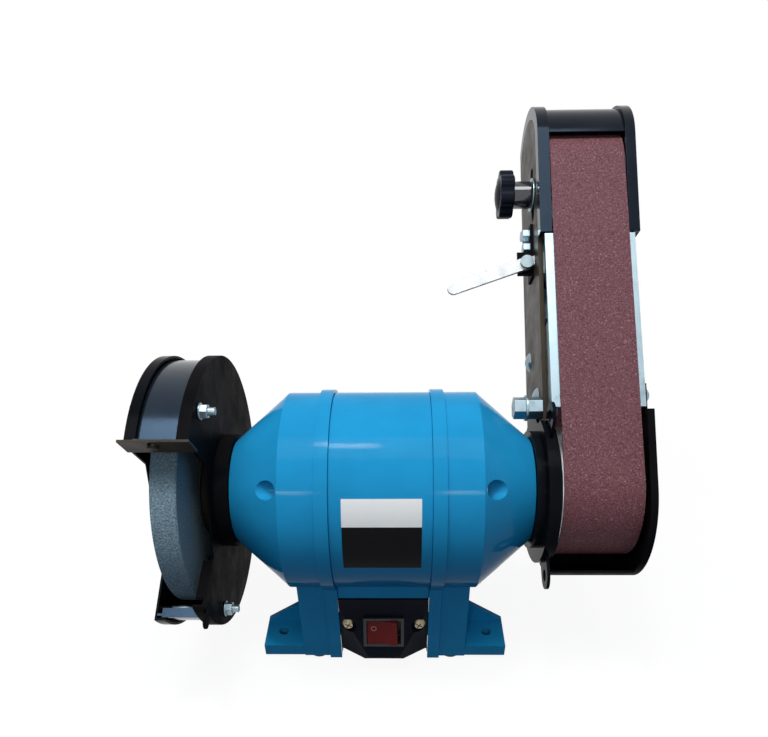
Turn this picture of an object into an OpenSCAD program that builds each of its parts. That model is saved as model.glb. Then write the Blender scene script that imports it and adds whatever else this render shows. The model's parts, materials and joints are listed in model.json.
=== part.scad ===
// Bench grinder with a swinging belt-sander arm, after a photograph.
// Millimetres. X runs along the shaft (wheel at -X, belt at +X), the front faces -Y, Z is up.
// The origin is on the bench, under the middle of the motor.

/* [Motor] */
// Height of the shaft above the bench
shaft_h = 123; // [119:1:128]
// Radius of the motor body
motor_r = 66.5; // [65:0.5:69]
// Half length of the straight motor body
shoulder_x = 62; // [60.5:0.5:64]
// Half length of the motor casting, to the small end of its cone
cone_end_x = 98; // [97:0.5:100]
// Radius at the small end of the cone
cone_end_r = 35.5; // [34.5:0.5:38]
// Half length of the middle shell, between the raised bands
band_in = 31.4; // [30:0.2:33]
// Width of a raised band
band_w = 8.6; // [6:0.2:10]
// Height of a raised band
band_h = 2; // [1:0.5:3]
// Casting wall
wall = 4; // [3:0.5:4.5]
// Angle of the tie bolts above the horizontal
tie_a = 37.5; // [34:0.5:42]
// Diameter of a tie bolt
tie_d = 5; // [4:0.5:6]
// Skin that a tie bolt's pocket leaves at the motor's surface
tie_skin = 1; // [0.8:0.1:1.4]

/* [Base] */
// Outer half width of the legs
leg_x = 59; // [57:0.5:61]
// Half depth of the legs
leg_y = 46; // [45.5:0.5:48]
// Thickness of the rubber feet
foot_t = 3; // [2:0.5:4]
// Diameter of a rubber foot
foot_d = 17; // [14:0.5:18]
// Reach of a mounting ear from the middle
ear_x = 88.6; // [85:0.2:92]
// Thickness of a mounting ear
ear_t = 10.3; // [8:0.1:12]
// Front edge of a mounting ear
ear_y1 = 45.3; // [43:0.1:45.5]
// Inner edge of a mounting ear
ear_y0 = 20.5; // [19:0.5:23]
// Height that an ear's rib climbs on the leg
rib_h = 20.8; // [16:0.2:24]
// Bench hole, distance from the middle along X
hole_x = 75.7; // [73:0.5:78]
// Bench hole, distance from the middle along Y
hole_y = 31.6; // [30:0.2:34]
// Diameter of a bench hole
hole_d = 7; // [5:0.5:9]
// Lower edge of the shell's apron above the bench
apron_z = 64; // [62:0.5:66]
// Thickness of the bottom plate
bottom_t = 1.5; // [1:0.1:2]

/* [Switch] */
// Thickness of the switch panel
panel_t = 2; // [1.5:0.1:2.5]
// Lean of the switch face from upright
panel_lean = 18; // [14:1:20]
// Width of the switch bezel
switch_w = 28.5; // [27:0.5:30]
// Height of the switch bezel
switch_l = 22.5; // [21:0.5:24]
// Throw of the rocker
rocker_throw = 16; // [12:1:18]

/* [Shaft] */
// Bearing outside diameter
bearing_od = 35; // [32:1:38]
// Bearing bore
bearing_id = 15; // [14:0.5:16]
// Bearing width
bearing_w = 11; // [9:0.5:12]
// Diameter of the shaft in the rotor
shaft_d = 18; // [17:0.5:20]
// Radius of the rotor
rotor_r = 35.6; // [34:0.2:37]
// Length of the rotor and stator stacks
stack_l = 50; // [44:1:54]

/* [Wheel] */
// Wheel diameter
wheel_d = 150; // [144:1:152]
// Wheel thickness
wheel_t = 16; // [12:0.5:18]
// Wheel bore
wheel_bore = 12.7; // [12:0.1:13.5]
// Diameter of the clamping flanges
flange_d = 54; // [48:1:60]
// Thickness of the inner flange
flange_t = 5.5; // [4:0.5:7]
// Thickness of the outer flange
flange_out_t = 2.6; // [2:0.1:3.4]
// Thickness of a paper washer
blotter_t = 0.9; // [0.6:0.1:1.2]

/* [Guard] */
// Room between the wheel and the rim of the guard's side discs
guard_gap = 16.5; // [15:0.5:19]
// Sheet of the guard
sheet_t = 1.5; // [1.2:0.1:2]
// Width of the inner pan's turned lip
pan_lip = 6; // [4:0.5:8]
// Width of the outer cover's turned lip
cover_lip = 5; // [4:0.5:8]
// Room between the wheel and the middle of the three guard bolts
guard_bolt_gap = 6; // [5.5:0.5:7]
// Diameter of a guard bolt
guard_bolt_d = 5; // [4:0.5:6]
// Upper edge of the opening above the horizontal
open_hi = 54; // [48:1:60]
// Lower edge of the opening of the outer cover, below the horizontal
open_lo = 27; // [20:1:34]
// Lower edge of the opening of the inner pan, below the horizontal
open_pan_lo = 13; // [8:1:18]
// Radius at which the side discs are cut back
open_r = 56; // [52:1:60]
// Reach of the spark deflector from its inner to its outer edge
deflector_l = 17; // [14:0.5:20]

/* [Belt] */
// Belt width
belt_w = 50; // [46:1:52]
// Belt length round the loop
belt_len = 686; // [680:1:692]
// Belt thickness
belt_t = 1; // [0.8:0.1:1.4]
// Radius of the drive drum
drum_r = 42.5; // [41.5:0.1:43.5]
// Radius of the idler
idler_r = 32.4; // [32:0.1:33]
// Lean of the arm from upright, as photographed
arm_rest = 45; // [40:1:50]

/* [Arm] */
// Length of the arm plate, from the shaft to the middle of its round end
arm_l = 240; // [238:0.5:243]
// Thickness of the arm plate
plate_t = 3; // [2.5:0.1:4]
// Half width of the arm plate
plate_w = 27.5; // [26.5:0.1:28]
// Radius of the hub dish
hub_r = 50; // [49:0.5:51]
// Lip of the hub dish
hub_lip = 7.7; // [6:0.1:8]
// Radius of the ears' holes on the hub
lug_r = 60; // [58:0.5:63]
// Diameter of a hole in a hub ear
lug_hole_d = 8; // [6:0.5:9]
// Sheet of the platen
platen_t = 2; // [1.5:0.1:2.5]
// Lower end of the platen, along the belt
platen_l0 = 46; // [45:0.5:49]
// Room between the platen's upper end and the top cap
platen_gap = 2.5; // [2.5:0.5:6]
// Depth of the platen's outer flange
platen_flange = 14; // [10:0.5:18]
// Lower edge of the top cap's cheeks, along the arm
cap_s0 = 168; // [164:0.5:170]
// Radius of the top cap
cap_r = 36; // [35.5:0.1:37]
// Radius of the drum cover
cover_r = 53; // [52.4:0.2:55]

/* [Controls] */
// Place of the tracking knob along the arm
knob_s = 207.5; // [206:0.5:209]
// Place of the tracking knob in front of the arm's middle
knob_n = 13; // [12:0.2:14]
// Diameter of the tracking knob
knob_d = 32.5; // [30:0.5:36]
// Place of the lever's pivot along the arm
lever_s = 157; // [156:0.5:158]
// Lever length from pivot to tip
lever_l = 54; // [48:0.5:60]
// Lever width
lever_w = 8.4; // [7:0.2:10]
// Lever droop at rest
lever_droop = 19.5; // [18:0.5:21]
// Travel of the idler carriage when the lever is lifted
take_up = 6; // [5:0.2:6.4]

/* [Fits] */
// Running clearance on a pin or journal
run_gap = 0.05; // [0.03:0.01:0.08]
// Clearance between pieces that pass each other
pass_gap = 0.3; // [0.3:0.05:0.4]
// Clearance of a bolt in its hole
bolt_gap = 0.15; // [0.1:0.05:0.3]
// Air gap round the rotor
air_gap = 0.4; // [0.3:0.1:0.6]
// Clearance of a pressed, keyed or clamped seat
seat_gap = 0.06; // [0.04:0.01:0.08]
// Thickness of the bearing's wave washer
washer_t = 1.2; // [0.8:0.1:1.6]

/* [Hidden] */
$fn = 72;

blue = [0.05, 0.42, 0.66];
black = [0.07, 0.07, 0.08];
zinc = [0.78, 0.81, 0.84];
steel = [0.62, 0.63, 0.65];

// motor
base_z = foot_t;
rim_r = motor_r + band_h;
band_out = band_in + band_w;
cone_k = (motor_r - cone_end_r) / (cone_end_x - shoulder_x);
body_in_r = motor_r - wall;
cone_in_x = shoulder_x - wall / 2;
end_in_x = cone_end_x - wall;
boss_r = 30;
boss_l_x = cone_end_x + 9.5;
boss_r_x = cone_end_x + 7.6;
bear_r = bearing_od / 2;
bear_house_r = bear_r + 5;
bear_x1 = cone_end_x - 8.6;
bear_x0 = bear_x1 - bearing_w;
house_x = bear_x0 - 4;
shaft_hole_r = bearing_id / 2 + 2.5;
journal_r = bearing_id / 2;
ring_in_r = journal_r + 2.5;
ring_out_r = bear_r - 3.5;
tie_r = body_in_r - tie_d / 2 - 0.5;
tie_pocket_d = 2 * (motor_r - tie_skin - tie_r);
tie_floor = shoulder_x - 4;
tie_boss_x = tie_floor - 8;
stator_r = body_in_r - 0.2;
stator_in_r = rotor_r + air_gap;
boss_corner = [leg_x - 10, leg_y - 8.5];
foot_screw_r = 1.9;
bottom_x = leg_x - wall - pass_gap;
bottom_y = leg_y - wall - pass_gap;
apron_in_y = leg_y - wall;
skirt_y = leg_y + band_h;
gland_x = 18;
gland_z = 24;
gland_r = 6;

// switch panel, side profile
panel_y = leg_y + 1;
panel_back = panel_y - panel_t;
panel_x = band_in - pass_gap;
panel_top = apron_z - pass_gap;
panel_bot = base_z + bottom_t + 8;
nose_top_z = panel_top - 7;
nose_bot_z = panel_bot + 3;
nose_y = panel_back + (nose_top_z - nose_bot_z) * tan(panel_lean);
switch_z = (nose_top_z + nose_bot_z) / 2 + 0.4;
switch_y = panel_back + (nose_top_z - switch_z) * tan(panel_lean);
screw_x = 25;
screw_z = switch_z + 3.5;
screw_r = 2;
screw_head_r = 4.6;
nose_side = panel_x - 1.5;
nose_tip = 9;
cell_x = switch_w / 2 - 2.2;
cell_z = switch_l / 2 - 2;
rocker_piv = 4;
rocker_x = cell_x - 1.4;
trunnion_r = 1.5;

// wheel stack, distances from the middle along -X
pan_x0 = boss_l_x;
pan_x1 = pan_x0 + sheet_t;
fl_x0 = pan_x1 + 3.6;
fl_x1 = fl_x0 + flange_t;
wh_x0 = fl_x1 + blotter_t;
wh_x1 = wh_x0 + wheel_t;
fo_x0 = wh_x1 + blotter_t;
fo_x1 = fo_x0 + flange_out_t;
nut_x1 = fo_x1 + 3.6;
shaft_x0 = nut_x1 + 0.3;
cov_x0 = shaft_x0 + 1;
cov_x1 = cov_x0 + sheet_t;
guard_r = wheel_d / 2 + guard_gap;
guard_bolt_r = wheel_d / 2 + guard_bolt_gap;
band_r = guard_r - sheet_t - 1.5;
guard_angles = [73, 193, 313];
far_r = guard_r + 60;
tab_x0 = pan_x1 + pan_lip + 1;
tab_x1 = cov_x0 - cover_lip - 1;
tab_r0 = band_r - sheet_t;
tab_r1 = band_r + 8.5;
plate_drop = pass_gap + sheet_t;
defl_r0 = guard_r - 8;
defl_r1 = defl_r0 + deflector_l;
defl_mid = (tab_x0 + tab_x1) / 2;
defl_screw_r = guard_r + 1.5;
defl_travel = 3.5;

// belt loop
bd_r = drum_r + pass_gap;
bi_r = idler_r + pass_gap + 0.6;
mid_d = bd_r - bi_r;
loop_a = belt_len - PI * (bd_r + bi_r + belt_t);
centre_d = (loop_a + sqrt(loop_a * loop_a - 8 * mid_d * mid_d)) / 4;
lean_b = asin(mid_d / centre_d);
fnorm = [-cos(lean_b), sin(lean_b)];
fdir = [sin(lean_b), cos(lean_b)];
function on_run(l, r) = r * fnorm + l * fdir;

// arm, distances along +X
hub_x0 = cone_end_x + 0.4;
hub_x1 = boss_r_x - pass_gap;
disc_t = 2;
disc_x0 = hub_x1 - disc_t;
ring_t = 2;
ring_x1 = boss_r_x + ring_t;
pivot_ring_r = boss_r + 4;
plate_x0 = hub_x1;
plate_x1 = plate_x0 + plate_t;
plate_foot_r = hub_r - sheet_t - 3.5;
belt_x0 = plate_x1 + 5.5;
belt_x1 = belt_x0 + belt_w;
platen_x1 = belt_x1 + 4;
platen_l1 = cap_s0 - platen_gap;
cover_x0 = platen_x1;
cover_x1 = cover_x0 + sheet_t;
cap_x1 = platen_x1 + 3.4;
cap_t = 3;
cap_step = 2;
lug_angles = [-47, 73, 193];
lug_w = 9;
lug_x1 = plate_x1 - pass_gap;
lug_x0 = lug_x1 - disc_t;
rest_n = 22;
rest_s = 51.5;
rest_d = 8;
bolt_pts = [[13, 94], [-9.5, 62]];
plate_bolt_d = 6;
tab_l1 = 104;
cover_c = [3.2, -5.3];
cover_top = platen_l0 - 2;
cover_edge = 3;
cover_bolt = on_run(platen_l0 + 9, drum_r - platen_flange / 2);

// carriage and lever, distances along +X
car_x0 = plate_x1 + pass_gap;
car_x1 = car_x0 + 4;
car_w = 20;
stud_r = 4;
axle_r = 6;
bush_r = 9;
roller_x0 = belt_x0 - 0.5;
roller_x1 = belt_x1 + 0.5;
clip_x = roller_x1 + 0.4;
axle_x1 = clip_x + 2.8;
knob_x1 = plate_x0 - pass_gap - 1;
knob_neck = 13;
knob_head = 9.5;
lever_x = plate_x0 - 5.3;
lever_y1 = -11.5;
lever_t = 2.5;
nose_l = 12.5;
nose_w = 6;
pin_r = 2.5;
bracket_t = 1.5;
slot_s0 = lever_s - 7;
slot_s1 = lever_s + 7.6;
hook_s = lever_s - 0.6;
cup_x = car_x1 + 9;
cup_r = 8;
cup_s0 = 120;
cup_s1 = 172;
rod_r = 4;
rod_s0 = 150;

// helpers: solids along X, profiles in Y and Z, places in the arm's own frame
module xcyl(r, x0, x1) translate([x0, 0, 0]) rotate([0, 90, 0]) cylinder(r = r, h = x1 - x0);
module xring(ro, ri, x0, x1) difference() {
  xcyl(ro, x0, x1);
  xcyl(ri, x0 - 1, x1 + 1);
}
module xhex(af, x0, x1) translate([x0, 0, 0]) rotate([0, 90, 0])
  cylinder(d = af / cos(30), h = x1 - x0, $fn = 6);
module xext(x0, x1) translate([x0, 0, 0]) rotate([90, 0, 90]) linear_extrude(x1 - x0) children();
module slab(x0, x1, y0, y1, z0, z1) translate([x0, y0, z0]) cube([x1 - x0, y1 - y0, z1 - z0]);
module on_shaft() translate([0, 0, shaft_h]) children();
module to_left() on_shaft() mirror([1, 0, 0]) children();
module arm_frame() on_shaft() rotate([-arm_rest, 0, 0]) children();
module at_yz(y, z) translate([0, y, z]) children();
module at_polar(r, a) at_yz(-r * cos(a), r * sin(a)) children();
module both_sides() { children(); mirror([0, 1, 0]) children(); }
module dome(r, h, x) translate([x, 0, 0]) intersection() {
  translate([(r * r - h * h) / (2 * h), 0, 0]) sphere(r = (r * r + h * h) / (2 * h));
  xcyl(r + 1, -h - 1, 0);
}

// one end casting, drawn for the +X side
module bell_outer(boss_x) rotate([0, 90, 0]) rotate_extrude() polygon([
  [0, band_in], [rim_r, band_in], [rim_r, band_out], [motor_r, band_out], [motor_r, shoulder_x],
  [cone_end_r, cone_end_x], [boss_r, cone_end_x], [boss_r, boss_x], [0, boss_x]]);
module bell_cavity(boss_x, seat_x) rotate([0, 90, 0]) rotate_extrude() polygon([
  [0, band_in - 1], [body_in_r, band_in - 1], [body_in_r, cone_in_x],
  [body_in_r - cone_k * (end_in_x - cone_in_x), end_in_x], [bear_house_r, end_in_x],
  [bear_house_r, house_x], [bear_r + seat_gap, house_x], [bear_r + seat_gap, seat_x], [shaft_hole_r, seat_x],
  [shaft_hole_r, boss_x + 1], [0, boss_x + 1]]);
module at_ties() for (a = [tie_a, -tie_a, 180 - tie_a, 180 + tie_a]) at_polar(tie_r, a) children();
module mount_ear() {
  slab(leg_x - wall, ear_x, -ear_y1, -ear_y0, base_z, base_z + ear_t);
  translate([0, -ear_y0 + wall / 2, 0]) rotate([90, 0, 0])
    translate([0, 0, -wall / 2]) linear_extrude(wall) polygon([[leg_x - wall, base_z], [ear_x, base_z],
      [ear_x, base_z + ear_t], [leg_x, base_z + ear_t + rib_h], [leg_x - wall, base_z + ear_t + rib_h]]);
}
module end_bell(boss_x, seat_x) difference() {
  union() {
    difference() {
      union() {
        on_shaft() bell_outer(boss_x);
        slab(band_in, leg_x, -leg_y, leg_y, base_z, shaft_h);
        slab(band_in, band_out, -skirt_y, skirt_y, base_z, shaft_h);
      }
      difference() {
        slab(band_in - 1, leg_x - wall, -leg_y + wall, leg_y - wall, base_z - 1, shaft_h);
        on_shaft() xcyl(motor_r, 0, cone_end_x);
      }
      on_shaft() bell_cavity(boss_x, seat_x);
    }
    intersection() {
      on_shaft() at_ties() xcyl(tie_pocket_d / 2 + 2.5, tie_boss_x, cone_end_x);
      on_shaft() bell_outer(boss_x);
    }
    both_sides() intersection() {
      translate([boss_corner[0], boss_corner[1], base_z + bottom_t]) cylinder(r = 8, h = 24);
      slab(0, leg_x, 0, leg_y, 0, shaft_h);
    }
    mount_ear();
    slab(screw_x - 4, band_out - 2, -panel_back, -panel_back + wall, screw_z - 5, screw_z + 5);
  }
  translate([screw_x, 0, screw_z]) rotate([90, 0, 0]) cylinder(r = screw_r + bolt_gap, h = skirt_y + 1);
  on_shaft() at_ties() {
    xcyl(tie_pocket_d / 2, tie_floor, cone_end_x);
    xcyl(tie_d / 2 + bolt_gap, 0, cone_end_x);
  }
  translate([hole_x, -hole_y, 0]) cylinder(d = hole_d, h = base_z + ear_t + 1);
  both_sides() translate([boss_corner[0], boss_corner[1], 0]) cylinder(r = foot_screw_r + bolt_gap, h = 22);
  on_shaft() for (a = [90, 210, 330]) at_polar(22, a) xcyl(2, boss_x - 9, boss_x + 1);
}
module left_end_bell() color(blue) mirror([1, 0, 0]) end_bell(boss_l_x, bear_x1);
module right_end_bell() color(blue) end_bell(boss_r_x, bear_x1 + washer_t);

module motor_shell() color(blue) difference() {
  union() {
    on_shaft() xcyl(motor_r, -band_in, band_in);
    slab(-band_in, band_in, -leg_y, leg_y, apron_z, shaft_h);
    slab(-band_in, band_in, apron_in_y, leg_y, base_z, shaft_h);
  }
  on_shaft() xcyl(body_in_r, -band_in - 1, band_in + 1);
  difference() {
    slab(-band_in - 1, band_in + 1, -apron_in_y, apron_in_y, 0, shaft_h);
    on_shaft() xcyl(motor_r, -band_in - 2, band_in + 2);
  }
  translate([gland_x, 0, gland_z]) rotate([-90, 0, 0]) cylinder(r = gland_r, h = leg_y + 1);
}

module stator_core() color([0.45, 0.46, 0.48]) on_shaft() difference() {
  xring(stator_r, stator_in_r, -stack_l / 2, stack_l / 2);
  at_ties() xcyl(tie_d / 2 + 1, -stack_l, stack_l);
  for (i = [0:23]) rotate([i * 15, 0, 0])
    slab(-stack_l, stack_l, stator_in_r - 1, stator_in_r + 10, -1.4, 1.4);
}

module stator_windings() color([0.72, 0.36, 0.14]) on_shaft() for (s = [0, 1]) mirror([s, 0, 0])
  rotate([0, 90, 0]) rotate_extrude() translate([(stator_in_r + tie_r - tie_d) / 2 + 1, stack_l / 2 + 8])
    intersection() {
      square([tie_r - tie_d - stator_in_r - 2, 16], center = true);
      circle(d = 17);
    }

module tie_bolts() color(zinc) on_shaft() at_ties() {
  xcyl(tie_d / 2, -tie_floor - 1, tie_floor + 6);
  xhex(tie_d * 1.6, -tie_floor - 4, -tie_floor);
  difference() {
    xhex(tie_d * 1.6, tie_floor, tie_floor + 4);
    xcyl(tie_d / 2, tie_floor - 1, tie_floor + 5);
  }
}

module bearing_outer_rings() color(steel) on_shaft() for (s = [0, 1]) mirror([s, 0, 0]) {
  xring(bear_r, ring_out_r, bear_x0, bear_x1);
  xring(ring_out_r, ring_in_r + 0.4, bear_x0, bear_x0 + 1);
  xring(ring_out_r, ring_in_r + 0.4, bear_x1 - 1, bear_x1);
}

module preload_washer() color(steel) on_shaft()
  xring(bear_r - 0.3, ring_out_r + 0.5, bear_x1, bear_x1 + washer_t);

module bottom_plate() color(black) difference() {
  slab(-bottom_x, bottom_x, -bottom_y, bottom_y, base_z, base_z + bottom_t);
  for (x = [-1, 1], y = [-1, 1]) translate([x * boss_corner[0], y * boss_corner[1], 0])
    cylinder(r = foot_screw_r + bolt_gap, h = 20);
  for (i = [-3:3]) slab(i * 9 - 1.5, i * 9 + 1.5, -14, 14, 0, 20);
  slab(-panel_x, panel_x, -bottom_y - 1, -bottom_y + 15, 0, 20);
}

module rubber_feet() color([0.03, 0.03, 0.03]) for (x = [-1, 1], y = [-1, 1])
  translate([x * boss_corner[0], y * boss_corner[1], 0]) difference() {
    cylinder(d1 = foot_d - 2, d2 = foot_d, h = foot_t);
    translate([0, 0, -1]) cylinder(r = foot_screw_r + bolt_gap, h = 9);
    translate([0, 0, -1]) cylinder(r = 4, h = 1 + foot_t - 1.2);
  }

module foot_screws() color(zinc) for (x = [-1, 1], y = [-1, 1])
  translate([x * boss_corner[0], y * boss_corner[1], 0]) {
    translate([0, 0, 0.3]) cylinder(r = 3.6, h = foot_t - 1.5);
    translate([0, 0, 0.3]) cylinder(r = foot_screw_r, h = 18);
  }

module cord_grommet() color(black) translate([gland_x, 0, gland_z]) rotate([-90, 0, 0]) difference() {
  union() {
    translate([0, 0, apron_in_y - 2]) cylinder(r = gland_r + 1.5, h = 2);
    translate([0, 0, apron_in_y - 1]) cylinder(r = gland_r - 0.1, h = wall + 2);
    translate([0, 0, leg_y]) cylinder(r = gland_r + 2, h = 4);
  }
  translate([0, 0, apron_in_y - 3]) cylinder(r = gland_r - 2.5, h = wall + 9);
}

// switch panel: an upright plate that swells forward into a leaning face with slanted sides
module nose_form(d, w0, w1) intersection() {
  xext(-panel_x, panel_x) polygon([[-panel_back + d, nose_top_z], [-nose_y + d, nose_bot_z],
    [-nose_y + d + 2, panel_bot - d], [-panel_back + d, panel_bot - d]]);
  linear_extrude(shaft_h) polygon([[-w0, 0], [-w0, -panel_y + d], [-w1, -nose_y + d - 1],
    [w1, -nose_y + d - 1], [w0, -panel_y + d], [w0, 0]]);
}
module on_switch() translate([0, -switch_y, switch_z]) rotate([-panel_lean, 0, 0]) children();
module switch_panel() color(black) difference() {
  union() {
    slab(-panel_x, panel_x, -panel_y, -panel_back, panel_bot, panel_top);
    nose_form(0, nose_side, nose_tip);
  }
  nose_form(panel_t, switch_w / 2 + 4.25, nose_tip - panel_t);
  on_switch() slab(-switch_w / 2 + 1, switch_w / 2 - 1, -9, 12, -switch_l / 2 + 1, switch_l / 2 - 1);
  for (x = [-screw_x, screw_x]) translate([x, 0, screw_z]) rotate([90, 0, 0]) {
    cylinder(r = screw_r + bolt_gap, h = nose_y);
    translate([0, 0, panel_y]) cylinder(r = screw_head_r + 0.9, h = 30);
  }
}
module panel_screws() color([0.80, 0.70, 0.50]) for (x = [-screw_x, screw_x]) translate([x, -panel_y, screw_z])
  rotate([-90, 0, 0]) {
    translate([0, 0, -2.4]) cylinder(r1 = 3, r2 = screw_head_r, h = 2.4);
    cylinder(r = screw_r, h = panel_t + 6);
  }
module switch_body() color([0.10, 0.10, 0.11]) on_switch() difference() {
  union() {
    slab(-switch_w / 2, switch_w / 2, -2, 0, -switch_l / 2, switch_l / 2);
    slab(-switch_w / 2 + 1.2, switch_w / 2 - 1.2, -1, 20, -switch_l / 2 + 1.2, switch_l / 2 - 1.2);
    for (x = [-7, 0, 7]) slab(x - 0.4, x + 0.4, 19, 27, -3, 3);
  }
  slab(-cell_x, cell_x, -3, 9, -cell_z, cell_z);
  translate([0, rocker_piv, 0]) cylinder(r = trunnion_r + run_gap, h = 2 * cell_z + 1.2, center = true);
}
module rocker() color([0.75, 0.08, 0.05]) on_switch() translate([0, rocker_piv, 0])
  rotate([0, 0, -rocker_throw / 2]) {
    translate([0, 0, -cell_z + pass_gap]) linear_extrude(2 * (cell_z - pass_gap)) polygon([
      [-rocker_x, -7.6], [0, -6.4], [rocker_x, -7.6], [rocker_x, -3], [4, 2.4], [-4, 2.4], [-rocker_x, -3]]);
    cylinder(r = trunnion_r, h = 2 * cell_z + 1, center = true);
  }

module capacitor() color([0.86, 0.86, 0.84]) translate([0, 22, base_z + bottom_t + 14])
  rotate([0, 90, 0]) cylinder(r = 14, h = 52, center = true);
module terminal_block() color([0.9, 0.88, 0.8]) difference() {
  slab(-20, 20, -22, -8, base_z + bottom_t, base_z + bottom_t + 13);
  for (i = [-1:1]) translate([i * 12, -15, 0]) cylinder(r = 2.4, h = 40);
}

// guard: sector taken out of the side discs, in the Y-Z plane round the shaft
module sector(lo, hi, r) xext(-1, cov_x1 + 30) polygon([[-r * cos(hi), r * sin(hi)],
  [-far_r * cos(hi), far_r * sin(hi)], [-2 * far_r, far_r * sin((hi + lo) / 2)],
  [-far_r * cos(lo), far_r * sin(lo)], [-r * cos(lo), r * sin(lo)]]);
module guard_pan() color(black) to_left() difference() {
  union() {
    difference() {
      union() {
        xcyl(guard_r, pan_x0, pan_x1);
        xring(guard_r, guard_r - sheet_t, pan_x0, pan_x1 + pan_lip);
        xring(cone_end_r + 3, boss_r + bolt_gap, cone_end_x + 0.4, pan_x0 + 0.5);
      }
      sector(-open_pan_lo, open_hi, open_r);
    }
    rotate([open_pan_lo, 0, 0]) slab(pan_x1 - 0.5, pan_x1 + 5, -guard_r + 6, -open_r - 2, -sheet_t, 0);
    rotate([20, 0, 0]) {
      slab(pan_x0, pan_x1, -guard_r - 4, -guard_r + 6, -5, 5);
      at_yz(-guard_r - 4, 0) xcyl(5, pan_x0, pan_x1);
    }
  }
  xcyl(shaft_hole_r + 2, 0, cov_x1);
  for (a = [90, 210, 330]) at_polar(22, a) xcyl(2 + bolt_gap, 0, cov_x1);
  for (a = guard_angles) at_polar(guard_bolt_r, a) xcyl(guard_bolt_d / 2 + bolt_gap, 0, cov_x1);
}
module at_opening() rotate([-open_hi, 0, 0]) children();
module guard_band() color(black) to_left() difference() {
  union() {
    difference() {
      xring(band_r, band_r - sheet_t, pan_x1, cov_x0);
      sector(-open_lo, open_hi, open_r);
    }
    at_opening() slab(tab_x0, tab_x1, -tab_r1, -tab_r0, 0, sheet_t);
    rotate([open_lo, 0, 0]) slab(pan_x1 + 8, cov_x0 - 3, -band_r - 1, -band_r + 5, -sheet_t, 0);
  }
  at_opening() translate([defl_mid, -defl_screw_r, -9]) cylinder(r = 2 + bolt_gap, h = 20);
}
module guard_cover() color(black) to_left() difference() {
  union() {
    xcyl(guard_r, cov_x0, cov_x1);
    xring(guard_r, guard_r - sheet_t, cov_x0 - cover_lip, cov_x1);
  }
  sector(-open_lo, open_hi, open_r);
  for (a = guard_angles) at_polar(guard_bolt_r, a) xcyl(guard_bolt_d / 2 + bolt_gap, 0, cov_x1 + 9);
}
module guard_bolts() color(zinc) to_left() for (a = guard_angles) at_polar(guard_bolt_r, a) {
  xcyl(guard_bolt_d / 2, pan_x0 - 9.5, cov_x1 + 1);
  xhex(guard_bolt_d * 1.6, cov_x1, cov_x1 + 3.5);
  difference() {
    union() {
      xcyl(guard_bolt_d * 1.05, pan_x0 - 1, pan_x0);
      xhex(guard_bolt_d * 1.6, pan_x0 - 5.2, pan_x0 - 1);
    }
    xcyl(guard_bolt_d / 2, 0, cov_x1);
  }
}
module guard_screws() color(zinc) to_left() for (a = [90, 210, 330]) at_polar(22, a) {
  xcyl(1.9, pan_x0 - 8, pan_x1 + 0.5);
  xcyl(3.6, pan_x1, pan_x1 + 2.2);
}
module spark_deflector() color(black) to_left() at_opening() difference() {
  slab(pan_x0 - 3, cov_x1, -defl_r1, -defl_r0, -plate_drop, -pass_gap);
  translate([defl_mid, -defl_screw_r, -9]) {
    translate([-2.4, -defl_travel, 0]) cube([4.8, 2 * defl_travel, 20]);
    for (s = [-1, 1]) translate([0, s * defl_travel, 0]) cylinder(r = 2.4, h = 20);
  }
}
module deflector_screw() color(zinc) to_left() at_opening()
  translate([defl_mid, -defl_screw_r, -plate_drop - pass_gap]) {
    translate([0, 0, -1.6]) cylinder(r = 3.4, h = 1.6);
    translate([0, 0, -1]) cylinder(r = 2, h = 1 + pass_gap + plate_drop + sheet_t);
  }

module pivot_ring() color(steel) on_shaft() difference() {
  xring(pivot_ring_r, shaft_hole_r, boss_r_x, ring_x1);
  for (a = [90, 210, 330]) at_polar(22, a) xcyl(2 + bolt_gap, 0, ring_x1 + 1);
}
module pivot_screws() color(zinc) on_shaft() for (a = [90, 210, 330]) at_polar(22, a) {
  xcyl(1.9, boss_r_x - 8, ring_x1 + 0.5);
  xcyl(3.6, ring_x1, ring_x1 + 2.2);
}

// rotating pieces
hub_in = belt_x0 + 4;
hub_out = belt_x0 + 34;
end_r = 6.5;
bore_r = wheel_bore / 2;
module shaft() color(steel) on_shaft() {
  xcyl(bore_r - seat_gap, -shaft_x0, -fl_x0 + 1);
  xcyl(journal_r, -fl_x0, -bear_x0 + 0.5);
  xcyl(shaft_d / 2, -bear_x0 + 0.5, bear_x0 - 0.5);
  xcyl(journal_r, bear_x0 - 0.5, hub_in);
  xcyl(end_r, hub_in - 1, hub_out + 12);
}
module rotor_core() color([0.55, 0.56, 0.58]) on_shaft() difference() {
  union() {
    xcyl(rotor_r, -stack_l / 2, stack_l / 2);
    xcyl(rotor_r - 3, -stack_l / 2 - 6, stack_l / 2 + 6);
    for (i = [0:7], s = [0, 1]) mirror([s, 0, 0]) rotate([i * 45, 0, 0])
      slab(stack_l / 2 + 5, stack_l / 2 + 14, 22, rotor_r - 5, -1.2, 1.2);
  }
  xcyl(shaft_d / 2 + seat_gap, -99, 99);
}
module bearing_inner_rings() color(steel) on_shaft() for (s = [0, 1]) mirror([s, 0, 0])
  xring(ring_in_r, journal_r + seat_gap, bear_x0, bear_x1);
module wheel_flanges() color(steel) to_left() {
  difference() {
    xring(flange_d / 2, bore_r, fl_x0, fl_x1);
    xring(flange_d / 2 - 6, 12, fl_x1 - 1, fl_x1 + 1);
  }
  difference() {
    xring(flange_d / 2, bore_r, fo_x0, fo_x1);
    xring(flange_d / 2 - 6, 12, fo_x0 - 1, fo_x0 + 1);
  }
}
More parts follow.
